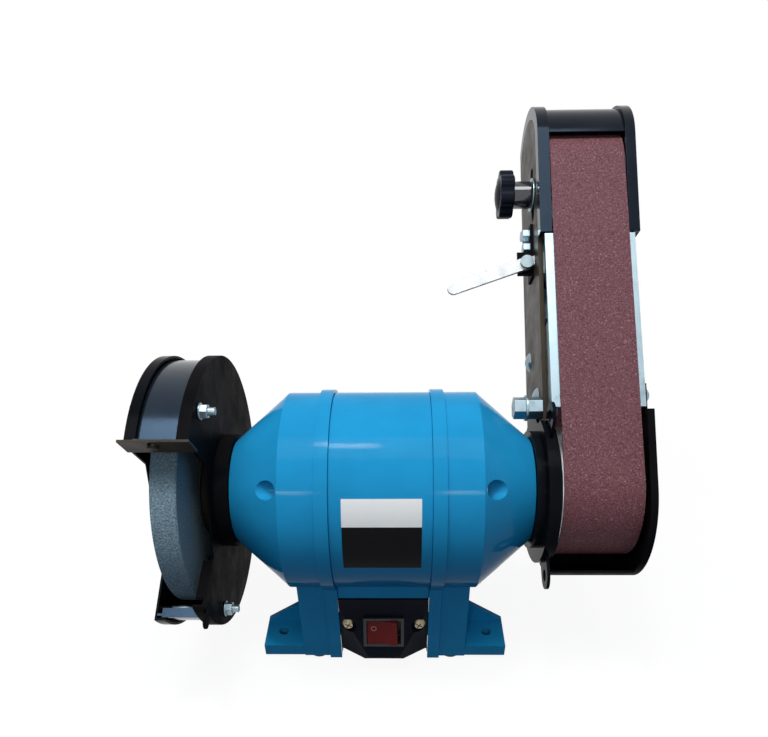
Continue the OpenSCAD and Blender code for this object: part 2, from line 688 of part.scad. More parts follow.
module wheel_blotters() color([0.85, 0.80, 0.66]) to_left() {
  xring(flange_d / 2 + 3, bore_r, fl_x1, wh_x0);
  xring(flange_d / 2 + 3, bore_r, wh_x1, fo_x0);
}
module grinding_wheel() color([0.42, 0.48, 0.52]) to_left() difference() {
  rotate([0, 90, 0]) rotate_extrude() polygon([[bore_r, wh_x0], [wheel_d / 2 - 0.8, wh_x0],
    [wheel_d / 2, wh_x0 + 0.8], [wheel_d / 2, wh_x1 - 0.8], [wheel_d / 2 - 0.8, wh_x1], [bore_r, wh_x1]]);
}
module wheel_nut() color(zinc) to_left() difference() {
  xhex(19, fo_x1, nut_x1);
  xcyl(bore_r, 0, cov_x1);
}
module drive_drum() color([0.70, 0.71, 0.73]) on_shaft() difference() {
  union() {
    xring(drum_r, drum_r - 5, belt_x0 - 0.5, belt_x1 + 0.5);
    xcyl(drum_r - 4, hub_in + 8, hub_in + 14);
    xcyl(16, hub_in, hub_out);
  }
  xcyl(end_r + seat_gap, 0, belt_x1);
  for (i = [0:4]) rotate([i * 72, 0, 0]) at_yz(0, 24) xcyl(5, 0, belt_x1);
}
module drum_nut() color(zinc) on_shaft() difference() {
  union() {
    xcyl(11, hub_out, hub_out + 2);
    xhex(19, hub_out + 2, hub_out + 9);
  }
  xcyl(end_r + seat_gap, 0, belt_x1);
}

// belt arm, drawn upright in its own frame: the front is -Y, Z runs along the arm from the shaft
module hub_form() difference() {
  circle(r = hub_r);
  translate([-rest_n, rest_s]) circle(r = rest_d + 2);
}
module lug_form(a) rotate(-a) difference() {
  union() {
    translate([-lug_w, 0]) square([2 * lug_w, lug_r]);
    translate([0, lug_r]) circle(r = lug_w);
  }
  circle(r = hub_r - sheet_t / 2);
  translate([0, lug_r]) circle(d = lug_hole_d);
}
module hub_lip_form() difference() {
  circle(r = hub_r);
  circle(r = hub_r - sheet_t);
  translate([-plate_w - 1, 0]) square([2 * plate_w + 2, 99]);
}
module arm_hub() color(black) arm_frame() difference() {
  union() {
    xcyl(boss_r + 10, hub_x0, hub_x1 - disc_t / 2);
    xext(disc_x0, hub_x1) hub_form();
    xext(hub_x1 - disc_t / 2, disc_x0 + hub_lip) hub_lip_form();
    for (a = lug_angles) xext(lug_x0, lug_x1) lug_form(a);
  }
  xcyl(boss_r + run_gap, 0, 999);
}
module plate_form(g) {
  circle(r = plate_foot_r);
  translate([-plate_w - g, 0]) square([2 * (plate_w + g), arm_l]);
  translate([0, arm_l]) circle(r = plate_w + g);
}
module arm_plate() color(black) arm_frame() difference() {
  xext(plate_x0, plate_x1) plate_form(0);
  xcyl(pivot_ring_r + 2, 0, 999);
  at_yz(-rest_n, rest_s) xcyl(rest_d / 2 + bolt_gap, 0, 999);
  for (p = bolt_pts) at_yz(p[0], p[1]) xcyl(plate_bolt_d / 2 + bolt_gap, 0, 999);
  slab(0, 999, -knob_n - stud_r - 0.5, -knob_n + stud_r + 0.5, knob_s - 15, knob_s + 15);
  for (s = [-15, 15]) at_yz(-knob_n, knob_s + s) xcyl(stud_r + 0.5, 0, 999);
  slab(0, 999, lever_y1 - lever_t - 1.5, lever_y1 + pass_gap, slot_s0, slot_s1);
  for (p = cap_pts) at_yz(p[0], p[1]) xcyl(2 + bolt_gap, 0, 999);
  for (p = brk_pts) at_yz(p[0], p[1]) xcyl(2.5 + bolt_gap, 0, 999);
}
module plate_bolts() color(zinc) arm_frame() for (p = bolt_pts) at_yz(p[0], p[1]) {
  dome(plate_bolt_d * 1.1, 3.2, plate_x0);
  xcyl(plate_bolt_d / 2, plate_x0 - 0.5, plate_x1 + platen_t + 5);
  difference() {
    xhex(plate_bolt_d * 1.6, plate_x1 + platen_t, plate_x1 + platen_t + 4);
    xcyl(plate_bolt_d / 2, 0, 999);
  }
}
module rest_bolt() color(zinc) arm_frame() at_yz(-rest_n, rest_s) {
  xcyl(rest_d / 2, plate_x0 - 12, plate_x1 + platen_t + 1);
  xhex(13, plate_x1 + platen_t, plate_x1 + platen_t + 4.5);
  xhex(13, plate_x0 - 18.5, plate_x0 - 11);
  difference() {
    union() {
      xhex(13, plate_x0 - 9.4, plate_x0);
      xcyl(8.5, plate_x0 - 11, plate_x0 - 9.4);
    }
    xcyl(rest_d / 2, 0, 999);
  }
}
// the platen: an angle along the belt's front run, with a tab that is bolted to the arm plate
module platen() color(zinc) arm_frame() difference() {
  union() {
    rotate([-lean_b, 0, 0]) translate([0, 0, platen_l0]) linear_extrude(platen_l1 - platen_l0)
      polygon([[plate_x1, -drum_r], [platen_x1, -drum_r], [platen_x1, -drum_r + platen_flange],
        [platen_x1 - platen_t, -drum_r + platen_flange], [platen_x1 - platen_t, -drum_r + platen_t],
        [plate_x1, -drum_r + platen_t]]);
    xext(plate_x1, plate_x1 + platen_t) polygon([on_run(platen_l0 + 1, drum_r - platen_t / 2),
      on_run(tab_l1, drum_r - platen_t / 2), [26, tab_l1], [26, 84], [4, platen_l0 + 2],
      [-12, rest_s - 8.5], [-plate_w, rest_s - 8.5]]);
  }
  for (p = bolt_pts) at_yz(p[0], p[1]) xcyl(plate_bolt_d / 2 + bolt_gap, 0, 130);
  at_yz(-rest_n, rest_s) xcyl(rest_d / 2 + bolt_gap, 0, 130);
  at_yz(cover_bolt[0], cover_bolt[1]) xcyl(2.5 + bolt_gap, 130, 999);
}
// the belt: one bend round each roller, cut where the two straight runs leave it
rnorm = [-fnorm[0], fnorm[1]];
top_c = [0, centre_d];
module bend(c, r, w) difference() {
  translate(c) circle(r = r + belt_t);
  translate(c) circle(r = r);
  polygon([c, c + 2 * r * fnorm, c + 2 * r * (fnorm + w * fdir), c + 2 * r * (rnorm + w * fdir),
    c + 2 * r * rnorm]);
}
module run(n) polygon([bd_r * n, (bd_r + belt_t) * n, top_c + (bi_r + belt_t) * n, top_c + bi_r * n]);
module sanding_belt() color([0.42, 0.26, 0.28]) arm_frame() union() {
  xext(belt_x0, belt_x1) bend([0, 0], bd_r, 1);
  xext(belt_x0, belt_x1) run(fnorm);
  xext(belt_x0, belt_x1) bend(top_c, bi_r, -1);
  xext(belt_x0, belt_x1) run(rnorm);
}
cap_in = cap_r - cap_t;
cap_pts = [[24, cap_s0 + 8], [24, cap_s0 + 28]];
module cap_form(r) {
  translate([-r, cap_s0]) square([2 * r, arm_l - cap_s0]);
  translate([0, arm_l]) circle(r = r);
}
module cap_wall(ro, ri) difference() {
  cap_form(ro);
  translate([0, -1]) cap_form(ri);
  translate([-ri, cap_s0 - 9]) square([2 * ri, 40]);
}
// two rims beside the belt, and a lower bridge between them over its upper end
module top_cap() color(black) arm_frame() difference() {
  union() {
    xext(plate_x0, belt_x0 - 0.6) cap_wall(cap_r, cap_in);
    xext(belt_x1 + 0.6, cap_x1) cap_wall(cap_r, cap_in);
    xext(belt_x0 - 2, belt_x1 + 2) difference() {
      cap_wall(cap_r - cap_step, cap_r - cap_step - sheet_t);
      translate([-2 * cap_r, 0]) square([4 * cap_r, arm_l + 1]);
    }
    xext(plate_x0, plate_x0 + sheet_t) difference() {
      cap_form(cap_in + 0.5);
      plate_form(pass_gap);
    }
    xext(cap_x1 - sheet_t, cap_x1) cap_form(cap_in + 0.5);
    slab(plate_x1, plate_x1 + sheet_t, car_w + 1, cap_in + 0.5, cap_s0, cap_s0 + 36);
  }
  slab(0, plate_x1, plate_w, 99, 0, 999);
  for (p = cap_pts) at_yz(p[0], p[1]) xcyl(2 + bolt_gap, 0, plate_x1 + 5);
}
module cap_screws() color(zinc) arm_frame() for (p = cap_pts) at_yz(p[0], p[1]) {
  xcyl(2, plate_x0 - 0.5, plate_x1 + sheet_t + 3);
  xcyl(3.8, plate_x0 - 2, plate_x0);
}
// round below, straight along the belt's front edge, with a tab under the platen's screw
cover_h = cover_top - cover_c[1];
module cover_form(r, h) {
  circle(r = r);
  translate([-r, 0]) square([r, h]);
}
module drum_cover() color(black) arm_frame() difference() {
  union() {
    at_yz(cover_c[0], cover_c[1]) difference() {
      union() {
        xext(cover_x0, cover_x1) cover_form(cover_r, cover_h + 1);
        difference() {
          xext(plate_x1 + 4, cover_x1) difference() {
            cover_form(cover_r, cover_h + 1);
            cover_form(cover_r - sheet_t, cover_h + 2);
          }
          slab(0, cover_x0 - cover_edge, -99, 99, 27, 99);
          slab(0, cover_x0 - cover_edge, -99, -13, -99, 99);
        }
      }
      slab(0, 999, -99, 99, cover_h, 99);
    }
    slab(cover_x0, cover_x1, cover_bolt[0] - 5, cover_bolt[0] + 5, cover_top - 2, cover_bolt[1] + 7);
  }
  at_yz(cover_bolt[0], cover_bolt[1]) xcyl(2.5 + bolt_gap, 130, 999);
}
module cover_screw() color(zinc) arm_frame() at_yz(cover_bolt[0], cover_bolt[1]) {
  xcyl(2.5, platen_x1 - platen_t - 4, cover_x1 + 0.5);
  translate([2 * cover_x1, 0, 0]) mirror([1, 0, 0]) dome(5, 3, cover_x1);
}

// tension lever and its bracket
brk_pts = [[-6, lever_s + 14], [-6, lever_s + 24]];
ear_y = lever_y1 + pass_gap;
module lever_bracket() color(black) arm_frame() difference() {
  union() {
    slab(plate_x0 - bracket_t, plate_x0, ear_y, 2, lever_s - 9, lever_s + 30);
    slab(lever_x - 6, plate_x0, ear_y, ear_y + bracket_t, lever_s - 8, lever_s + 9);
  }
  translate([lever_x, 0, lever_s]) rotate([90, 0, 0]) cylinder(r = pin_r + seat_gap, h = 99, center = true);
  for (p = brk_pts) at_yz(p[0], p[1]) xcyl(2.5 + bolt_gap, 0, 999);
}
module bracket_screws() color(zinc) arm_frame() for (p = brk_pts) at_yz(p[0], p[1]) {
  xcyl(2.5, plate_x0 - bracket_t - 0.5, plate_x1);
  xhex(8, plate_x0 - bracket_t - 5, plate_x0 - bracket_t);
}
module lever_pin() color(zinc) arm_frame() translate([lever_x, 0, lever_s]) rotate([90, 0, 0]) {
  translate([0, 0, -ear_y - bracket_t - 1]) cylinder(r = pin_r, h = lever_t + bracket_t + 1 + 2 * pass_gap + 1);
  translate([0, 0, -lever_y1 + lever_t + pass_gap]) cylinder(r = 4.5, h = 2.2);
}
module tension_lever() color(zinc) arm_frame() translate([lever_x, lever_y1, lever_s]) rotate([90, 0, 0])
  linear_extrude(lever_t) rotate(lever_droop) difference() {
    union() {
      translate([-lever_l, -lever_w / 2]) square([lever_l, lever_w]);
      translate([-lever_l, 0]) circle(d = lever_w);
      circle(d = lever_w);
      translate([0, -nose_w / 2]) square([nose_l, nose_w]);
    }
    circle(r = pin_r + run_gap);
  }
module spring_cup() color(zinc) arm_frame() {
  translate([cup_x, 0, cup_s0]) difference() {
    cylinder(r = cup_r, h = cup_s1 - cup_s0);
    translate([0, 0, 2]) cylinder(r = cup_r - 1.5, h = 99);
  }
  difference() {
    slab(plate_x1, cup_x, -5, 5, cup_s0, cup_s0 + 22);
    translate([cup_x, 0, 0]) cylinder(r = cup_r - 0.5, h = 999);
  }
}
module tension_spring() color(steel) arm_frame() translate([cup_x, 0, cup_s0 + 2]) difference() {
  cylinder(r = cup_r - 1.8, h = rod_s0 - cup_s0 - 2.3);
  translate([0, 0, -1]) cylinder(r = rod_r - 0.2, h = 99);
}

// idler carriage
module idler_carriage() color(zinc) arm_frame() difference() {
  union() {
    slab(car_x0, car_x1, -car_w, car_w, lever_s + 25, centre_d + 12);
    slab(car_x0, car_x1, -car_w - 4, -car_w + 3, hook_s - 12, lever_s + 25);
    slab(car_x0, car_x1, -car_w - 4, -9, hook_s - 12, hook_s);
    slab(car_x0, cup_x + rod_r, -rod_r, rod_r, lever_s + 22, lever_s + 30);
    translate([cup_x, 0, rod_s0]) cylinder(r = rod_r, h = lever_s + 30 - rod_s0);
  }
  at_yz(-knob_n, knob_s) xcyl(stud_r + run_gap, 0, 999);
  at_yz(0, centre_d) xcyl(axle_r - 1 + seat_gap, 0, 999);
}
module idler_axle() color(steel) arm_frame() at_yz(0, centre_d) difference() {
  union() {
    xcyl(axle_r - 1, car_x0 + 0.3, car_x1 + 1);
    xcyl(axle_r, car_x1, axle_x1);
  }
  xring(axle_r + 1, axle_r - 0.8, clip_x - seat_gap, clip_x + 1.2 + seat_gap);
}
module axle_clip() color(steel) arm_frame() at_yz(0, centre_d) difference() {
  xring(axle_r + 3, axle_r - 0.8 + seat_gap, clip_x, clip_x + 1.2);
  slab(0, 999, -2, 2, 0, 99);
}
module idler_roller() color([0.70, 0.71, 0.73]) arm_frame() at_yz(0, centre_d) difference() {
  union() {
    xring(idler_r, idler_r - 5, roller_x0, roller_x1);
    xcyl(idler_r - 4, roller_x0 + 20, roller_x1 - 20);
    xcyl(bush_r + 4, roller_x0, roller_x1);
  }
  xcyl(bush_r + seat_gap, 0, 999);
}
module idler_bushes() color([0.70, 0.52, 0.22]) arm_frame() at_yz(0, centre_d) {
  xring(bush_r, axle_r + run_gap, roller_x0, roller_x0 + 15);
  xring(bush_r, axle_r + run_gap, roller_x1 - 15, roller_x1);
}
module tracking_knob() color(black) arm_frame() at_yz(-knob_n, knob_s) difference() {
  union() {
    translate([knob_x1 - knob_neck - knob_head, 0, 0]) rotate([0, 90, 0]) linear_extrude(knob_head) {
      circle(r = knob_d / 2 - 2);
      for (i = [0:6]) rotate(i * 360 / 7) translate([knob_d / 2 - 6, 0]) circle(r = 6);
    }
    dome(knob_d / 2 - 5, 2.5, knob_x1 - knob_neck - knob_head);
    xcyl(9, knob_x1 - knob_neck - 0.5, knob_x1);
  }
  xcyl(stud_r + seat_gap, knob_x1 - 14, 999);
}
module knob_stud() color(zinc) arm_frame() at_yz(-knob_n, knob_s) {
  xcyl(stud_r, knob_x1 - 14, car_x1 - 0.2);
  xring(11, stud_r, knob_x1, knob_x1 + 1);
}

left_end_bell();
right_end_bell();
motor_shell();
stator_core();
stator_windings();
tie_bolts();
bearing_outer_rings();
preload_washer();
bottom_plate();
rubber_feet();
foot_screws();
cord_grommet();
switch_panel();
panel_screws();
switch_body();
rocker();
capacitor();
terminal_block();
guard_pan();
guard_band();
guard_cover();
guard_bolts();
guard_screws();
spark_deflector();
deflector_screw();
pivot_ring();
pivot_screws();
shaft();
rotor_core();
bearing_inner_rings();
wheel_flanges();
wheel_blotters();
grinding_wheel();
wheel_nut();
drive_drum();
drum_nut();
arm_hub();
arm_plate();
plate_bolts();
rest_bolt();
platen();
sanding_belt();
top_cap();
cap_screws();
drum_cover();
cover_screw();
lever_bracket();
bracket_screws();
lever_pin();
spring_cup();
tension_spring();
idler_carriage();
idler_axle();
axle_clip();
idler_roller();
idler_bushes();
tracking_knob();
knob_stud();
tension_lever();
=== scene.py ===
"""Looks of a bench grinder with a belt-sander arm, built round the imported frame.

Lengths are in millimetres and MM turns them into metres, except where metres are named.
"""

import json
import logging
import math
from dataclasses import dataclass, field
from enum import Enum
from typing import Callable, ClassVar, Optional, Sequence

import bpy
from mathutils import Matrix, Vector


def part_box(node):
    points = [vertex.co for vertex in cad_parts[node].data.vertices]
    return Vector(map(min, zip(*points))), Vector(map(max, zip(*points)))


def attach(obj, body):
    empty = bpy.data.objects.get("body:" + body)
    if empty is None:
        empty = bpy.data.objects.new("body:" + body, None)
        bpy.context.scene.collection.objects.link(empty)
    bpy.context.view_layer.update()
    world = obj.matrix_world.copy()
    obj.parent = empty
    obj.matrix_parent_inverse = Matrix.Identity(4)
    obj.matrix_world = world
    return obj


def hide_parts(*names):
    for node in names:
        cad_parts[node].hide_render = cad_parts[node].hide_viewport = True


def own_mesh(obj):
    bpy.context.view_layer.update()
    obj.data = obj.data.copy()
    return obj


LOG = logging.getLogger("grinder")
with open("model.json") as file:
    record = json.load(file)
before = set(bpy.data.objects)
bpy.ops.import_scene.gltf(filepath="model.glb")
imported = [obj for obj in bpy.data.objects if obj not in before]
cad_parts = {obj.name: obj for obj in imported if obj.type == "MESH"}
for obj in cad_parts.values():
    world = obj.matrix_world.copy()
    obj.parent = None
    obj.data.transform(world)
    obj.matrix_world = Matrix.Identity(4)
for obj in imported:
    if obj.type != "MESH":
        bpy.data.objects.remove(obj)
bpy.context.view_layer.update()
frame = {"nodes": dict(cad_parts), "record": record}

Colour = tuple[float, float, float]
Point = tuple[float, float, float]
Band = tuple[float, float]
Socket = bpy.types.NodeSocket

MM = 0.001
SHAFT_H = 123.0
ARM_LEAN = math.radians(45.0)
KNOB_NECK = 13.0
PANEL_SCREWS: tuple[Point, ...] = ((25.0, -49.4, 40.0), (-25.0, -49.4, 40.0))
WHITE: Colour = (1.0, 1.0, 1.0)
# Most of a noise lies between these two values.
NOISE_BAND: Band = (0.3, 0.7)
ZINC_LINES: Point = (160.0, 160.0, 160.0)


def scaled(colour: Colour, gain: float, lift: float = 0.0) -> Colour:
    """Scale and lift a colour.

    Args:
        colour: The colour.
        gain: Factor on each channel.
        lift: Added to each channel.

    Returns:
        The new colour, no channel above 1.
    """
    return tuple(min(1.0, c * gain + lift) for c in colour)


class Part(Enum):
    """Bodies of the frame that the added pieces ride on."""

    BASE = "base"
    ROCKER = "rocker"


class Graph:
    """Builds the node tree of one material, left to right."""

    # Places of the colour sockets on a mix node, where several sockets share a name.
    MIX_FACTOR, MIX_FIRST, MIX_SECOND, MIX_RESULT = 0, 6, 7, 2

    def __init__(self, name: str) -> None:
        """Start a material with one shader.

        Args:
            name: Name of the material.
        """
        self.material = bpy.data.materials.new(name)
        self.material.use_nodes = True
        self.tree = self.material.node_tree
        self.shader = self.tree.nodes["Principled BSDF"]
        self.coords = self.add("ShaderNodeTexCoord").outputs["Object"]

    def add(self, kind: str, **inputs: object) -> bpy.types.Node:
        """Add a node and set its inputs.

        Args:
            kind: Type name of the node.
            **inputs: Values or sockets by input name, with _ for a space.

        Returns:
            The new node.
        """
        node = self.tree.nodes.new(kind)
        for key, value in inputs.items():
            self.feed(node.inputs[key.replace("_", " ")], value)
        return node

    def feed(self, socket: Socket, value: object) -> None:
        """Link a socket to an input, or set its value.

        Args:
            socket: The input.
            value: A socket, a number or a tuple.
        """
        if isinstance(value, Socket):
            self.tree.links.new(value, socket)
        else:
            socket.default_value = value

    def stretch(self, scale: Point) -> Socket:
        """Scale the object coordinates.

        Args:
            scale: Factor along each axis.

        Returns:
            The mapped coordinates.
        """
        return self.add("ShaderNodeMapping", Vector=self.coords, Scale=scale).outputs["Vector"]

    def noise(self, scale: float, detail: float = 3.0, rough: float = 0.5,
              where: Optional[Socket] = None) -> Socket:
        """Noise between 0 and 1.

        Args:
            scale: Cells to a metre.
            detail: Octaves.
            rough: Weight of the finer octaves.
            where: Coordinates, or None for the object's own.

        Returns:
            The noise factor.
        """
        node = self.add("ShaderNodeTexNoise", Vector=where or self.coords, Scale=scale,
                        Detail=detail, Roughness=rough)
        return node.outputs["Fac"]

    def cloud(self, scale: float) -> Socket:
        """Wide noise for drift in a colour, scale cells to a metre."""
        return self.noise(scale, detail=4.0, rough=0.6)

    def fine(self, scale: float) -> Socket:
        """Noise of two octaves for specks and grain, scale cells to a metre."""
        return self.noise(scale, detail=2.0)

    def cells(self, scale: float) -> Socket:
        """Distance from the middle of each Voronoi cell, scale cells to a metre."""
        node = self.add("ShaderNodeTexVoronoi", Vector=self.coords, Scale=scale)
        return node.outputs["Distance"]

    def ramp(self, factor: Socket, stops: Sequence[tuple[float, Colour]]) -> Socket:
        """Colour ramp over a factor.

        Args:
            factor: Input between 0 and 1.
            stops: Place and colour of each of the two stops.

        Returns:
            The colour.
        """
        node = self.add("ShaderNodeValToRGB", Fac=factor)
        for stop, (place, colour) in zip(node.color_ramp.elements, stops):
            stop.position = place
            stop.color = (*colour, 1.0)
        return node.outputs["Color"]

    def span(self, factor: Socket, low: float, high: float, band: Band = (0.0, 1.0)) -> Socket:
        """Map a factor from a band to low..high.

        Args:
            factor: Input.
            low: Result at the start of the band.
            high: Result at the end of the band.
            band: Inputs that give low and high.

        Returns:
            The mapped value.
        """
        node = self.add("ShaderNodeMapRange", Value=factor)
        for key, value in zip(("From Min", "From Max", "To Min", "To Max"), (*band, low, high)):
            node.inputs[key].default_value = value
        return node.outputs["Result"]

    def beyond(self, axis: str, place: float, soft: float) -> Socket:
        """Tell the two sides of a plane apart.

        Args:
            axis: Axis across the plane: X, Y or Z.
            place: Where the plane lies on the axis.
            soft: Half the width of the change-over.

        Returns:
            0 before the plane and 1 beyond it.
        """
        split = self.add("ShaderNodeSeparateXYZ", Vector=self.coords)
        return self.span(split.outputs[axis], 0.0, 1.0,
                         ((place - soft) * MM, (place + soft) * MM))

    def blend(self, factor: Socket, first: object, second: object) -> Socket:
        """Mix two colours.

        Args:
            factor: Share of the second colour.
            first: First colour, or a socket.
            second: Second colour, or a socket.

        Returns:
            The mixed colour.
        """
        node = self.tree.nodes.new("ShaderNodeMix")
        node.data_type = "RGBA"
        self.feed(node.inputs[self.MIX_FACTOR], factor)
        for place, colour in ((self.MIX_FIRST, first), (self.MIX_SECOND, second)):
            linked = isinstance(colour, Socket)
            self.feed(node.inputs[place], colour if linked else (*colour, 1.0))
        return node.outputs[self.MIX_RESULT]

    def bump(self, height: Socket, strength: float, depth: float) -> None:
        """Give the shader a bump.

        Args:
            height: Height between 0 and 1.
            strength: Strength of the bump.
            depth: Depth of the bump.
        """
        node = self.add("ShaderNodeBump", Height=height, Strength=strength, Distance=depth * MM)
        self.feed(self.shader.inputs["Normal"], node.outputs["Normal"])

    def set(self, **values: object) -> None:
        """Set the shader's own inputs, with _ for a space."""
        for key, value in values.items():
            self.feed(self.shader.inputs[key.replace("_", " ")], value)


@dataclass(frozen=True)
class Finish:
    """A finish: what it is called, its colour and how rough it is."""

    name: str
    colour: Colour
    roughness: float

    def shade(self, graph: Graph) -> None:
        """Fill in the shader; each kind of finish has its own way.

        Args:
            graph: Graph of the material.
        """
        raise NotImplementedError(self.name)

    def sheen(self, graph: Graph, noise: Socket, low: float, high: float) -> Socket:
        """Vary the roughness with a noise.

        Args:
            graph: Graph of the material.
            noise: The noise.
            low: Share of the roughness where the noise is low.
            high: Share of the roughness where the noise is high.

        Returns:
            The roughness.
        """
        return graph.span(noise, self.roughness * low, self.roughness * high, NOISE_BAND)

    def build(self) -> bpy.types.Material:
        """Make the material.

        Returns:
            The finished material.
        """
        graph = Graph(self.name)
        self.shade(graph)
        return graph.material


@dataclass(frozen=True)
class GlossPaint(Finish):
    """Sprayed gloss paint with a faint orange peel, dust specks and drift in its colour."""

    peel: float
    drift: float
    shine: float
    # Colour given to the reflection; a blue one is a painted reflection of bluish light.
    painted_reflection_tint: Colour = WHITE

    DRIFT_SCALE: ClassVar[float] = 26.0
    SPECK_SCALE: ClassVar[float] = 1500.0
    SPECK_BAND: ClassVar[Band] = (0.74, 0.82)
    SPECK_SHARE: ClassVar[float] = 0.5
    SPECK_LIFT: ClassVar[float] = 0.03
    SHEEN_SCALE: ClassVar[float] = 60.0
    PEEL_SCALE: ClassVar[float] = 420.0
    PEEL_DEPTH: ClassVar[float] = 0.5

    def shade(self, graph: Graph) -> None:
        """Fill in the shader.

        Args:
            graph: Graph of the material.
        """
        shades = (scaled(self.colour, 1.0 - self.drift), scaled(self.colour, 1.0 + self.drift))
        colour = graph.ramp(graph.cloud(self.DRIFT_SCALE), tuple(zip(NOISE_BAND, shades)))
        speck = graph.span(graph.fine(self.SPECK_SCALE), 0.0, self.SPECK_SHARE, self.SPECK_BAND)
        dusty = scaled(self.colour, 1.0, self.SPECK_LIFT)
        smears = graph.noise(self.SHEEN_SCALE, detail=5.0, rough=0.65)
        graph.set(Base_Color=graph.blend(speck, colour, dusty),
                  Roughness=self.sheen(graph, smears, low=0.8, high=1.3),
                  Specular_IOR_Level=self.shine, Specular_Tint=(*self.painted_reflection_tint, 1.0))
        graph.bump(graph.fine(self.PEEL_SCALE), self.peel, self.PEEL_DEPTH)


@dataclass(frozen=True)
class PlatedMetal(Finish):
    """Plated or turned metal with fine drawn lines and a faint drift in its sheen."""

    lines: Point = (900.0, 900.0, 60.0)
    depth: float = 0.03
    drift: float = 0.05
    metal: float = 1.0

    BLOTCH_SCALE: ClassVar[float] = 70.0
    BLOTCH_BAND: ClassVar[Band] = (0.3, 0.65)
    LINE_STRENGTH: ClassVar[float] = 0.2

    def shade(self, graph: Graph) -> None:
        """Fill in the shader.

        Args:
            graph: Graph of the material.
        """
        drawn = graph.noise(1.0, rough=0.6, where=graph.stretch(self.lines))
        shades = (scaled(self.colour, 1.0 - self.drift), self.colour)
        blotch = graph.cloud(self.BLOTCH_SCALE)
        graph.set(Base_Color=graph.ramp(blotch, tuple(zip(self.BLOTCH_BAND, shades))),
                  Metallic=self.metal, Roughness=self.sheen(graph, drawn, low=0.75, high=1.35))
        graph.bump(drawn, self.LINE_STRENGTH, self.depth)


@dataclass(frozen=True)
class MouldedPlastic(Finish):
    """Moulded plastic or rubber with a fine spark-eroded grain."""

    grain: float = 2200.0
    depth: float = 0.04
    shine: float = 0.5

    CLOUD_SCALE: ClassVar[float] = 45.0
    CLOUD_BAND: ClassVar[Band] = (0.35, 0.75)
    PALE_GAIN: ClassVar[float] = 1.25
    PALE_LIFT: ClassVar[float] = 0.004
    GRAIN_STRENGTH: ClassVar[float] = 0.35

    def gloss(self, graph: Graph, cloud: Socket) -> tuple[Socket, object]:
        """Say how rough and how shiny the surface is.

        Args:
            graph: Graph of the material.
            cloud: The noise that its colour drifts with.

        Returns:
            The roughness and the shine.
        """
        return self.sheen(graph, cloud, low=0.85, high=1.15), self.shine

    def shade(self, graph: Graph) -> None:
        """Fill in the shader.

        Args:
            graph: Graph of the material.
        """
        grain = graph.fine(self.grain)
        cloud = graph.cloud(self.CLOUD_SCALE)
        shades = (self.colour, scaled(self.colour, self.PALE_GAIN, self.PALE_LIFT))
        rough, shine = self.gloss(graph, cloud)
        graph.set(Base_Color=graph.ramp(cloud, tuple(zip(self.CLOUD_BAND, shades))),
                  Roughness=rough, Specular_IOR_Level=shine)
        graph.bump(grain, self.GRAIN_STRENGTH, self.depth)


@dataclass(frozen=True)
class NeckedKnob(MouldedPlastic):
    """Moulded knob with a dull head and a polished neck."""

    neck_x: float = 0.0
    neck_roughness: float = 0.07
    neck_shine: float = 1.0

    NECK_SOFT: ClassVar[float] = 0.2

    def gloss(self, graph: Graph, cloud: Socket) -> tuple[Socket, object]:
        """Say how rough and how shiny the head and the neck are.

        Args:
            graph: Graph of the material.
            cloud: The noise that its colour drifts with, not used here.

        Returns:
            The roughness and the shine.
        """
        neck = graph.beyond("X", self.neck_x, self.NECK_SOFT)
        return (graph.span(neck, self.roughness, self.neck_roughness),
                graph.span(neck, self.shine, self.neck_shine))


@dataclass(frozen=True)
class AbrasiveGrain(Finish):
    """Bonded or coated abrasive: packed grains with dark pores and a few bright points."""

    pore: Colour
    spark: Colour
    grain: float
    depth: float = 0.3
    patch: float = 0.25
    shine: float = 0.15
    # Colour given to the reflection; a blue one is a painted reflection of bluish light.
    painted_reflection_tint: Colour = WHITE

    PATCH_SCALE: ClassVar[float] = 30.0
    PORE_BAND: ClassVar[Band] = (0.34, 0.52)
    SPARK_BAND: ClassVar[Band] = (0.58, 0.70)
    CELL_BAND: ClassVar[Band] = (0.0, 0.6)
    CELL_STRENGTH: ClassVar[float] = 0.8

    def shade(self, graph: Graph) -> None:
        """Fill in the shader.

        Args:
            graph: Graph of the material.
        """
        cells = graph.cells(self.grain)
        specks = graph.noise(self.grain, rough=0.7)
        worn = scaled(self.colour, 1.0 - self.patch)
        body = graph.blend(graph.cloud(self.PATCH_SCALE), self.colour, worn)
        pores = graph.span(specks, 1.0, 0.0, self.PORE_BAND)
        points = graph.span(specks, 0.0, 1.0, self.SPARK_BAND)
        speckled = graph.blend(pores, body, self.pore)
        graph.set(Base_Color=graph.blend(points, speckled, self.spark), Roughness=self.roughness,
                  Specular_IOR_Level=self.shine, Specular_Tint=(*self.painted_reflection_tint, 1.0))
        graph.bump(graph.span(cells, 1.0, 0.0, self.CELL_BAND), self.CELL_STRENGTH, self.depth)


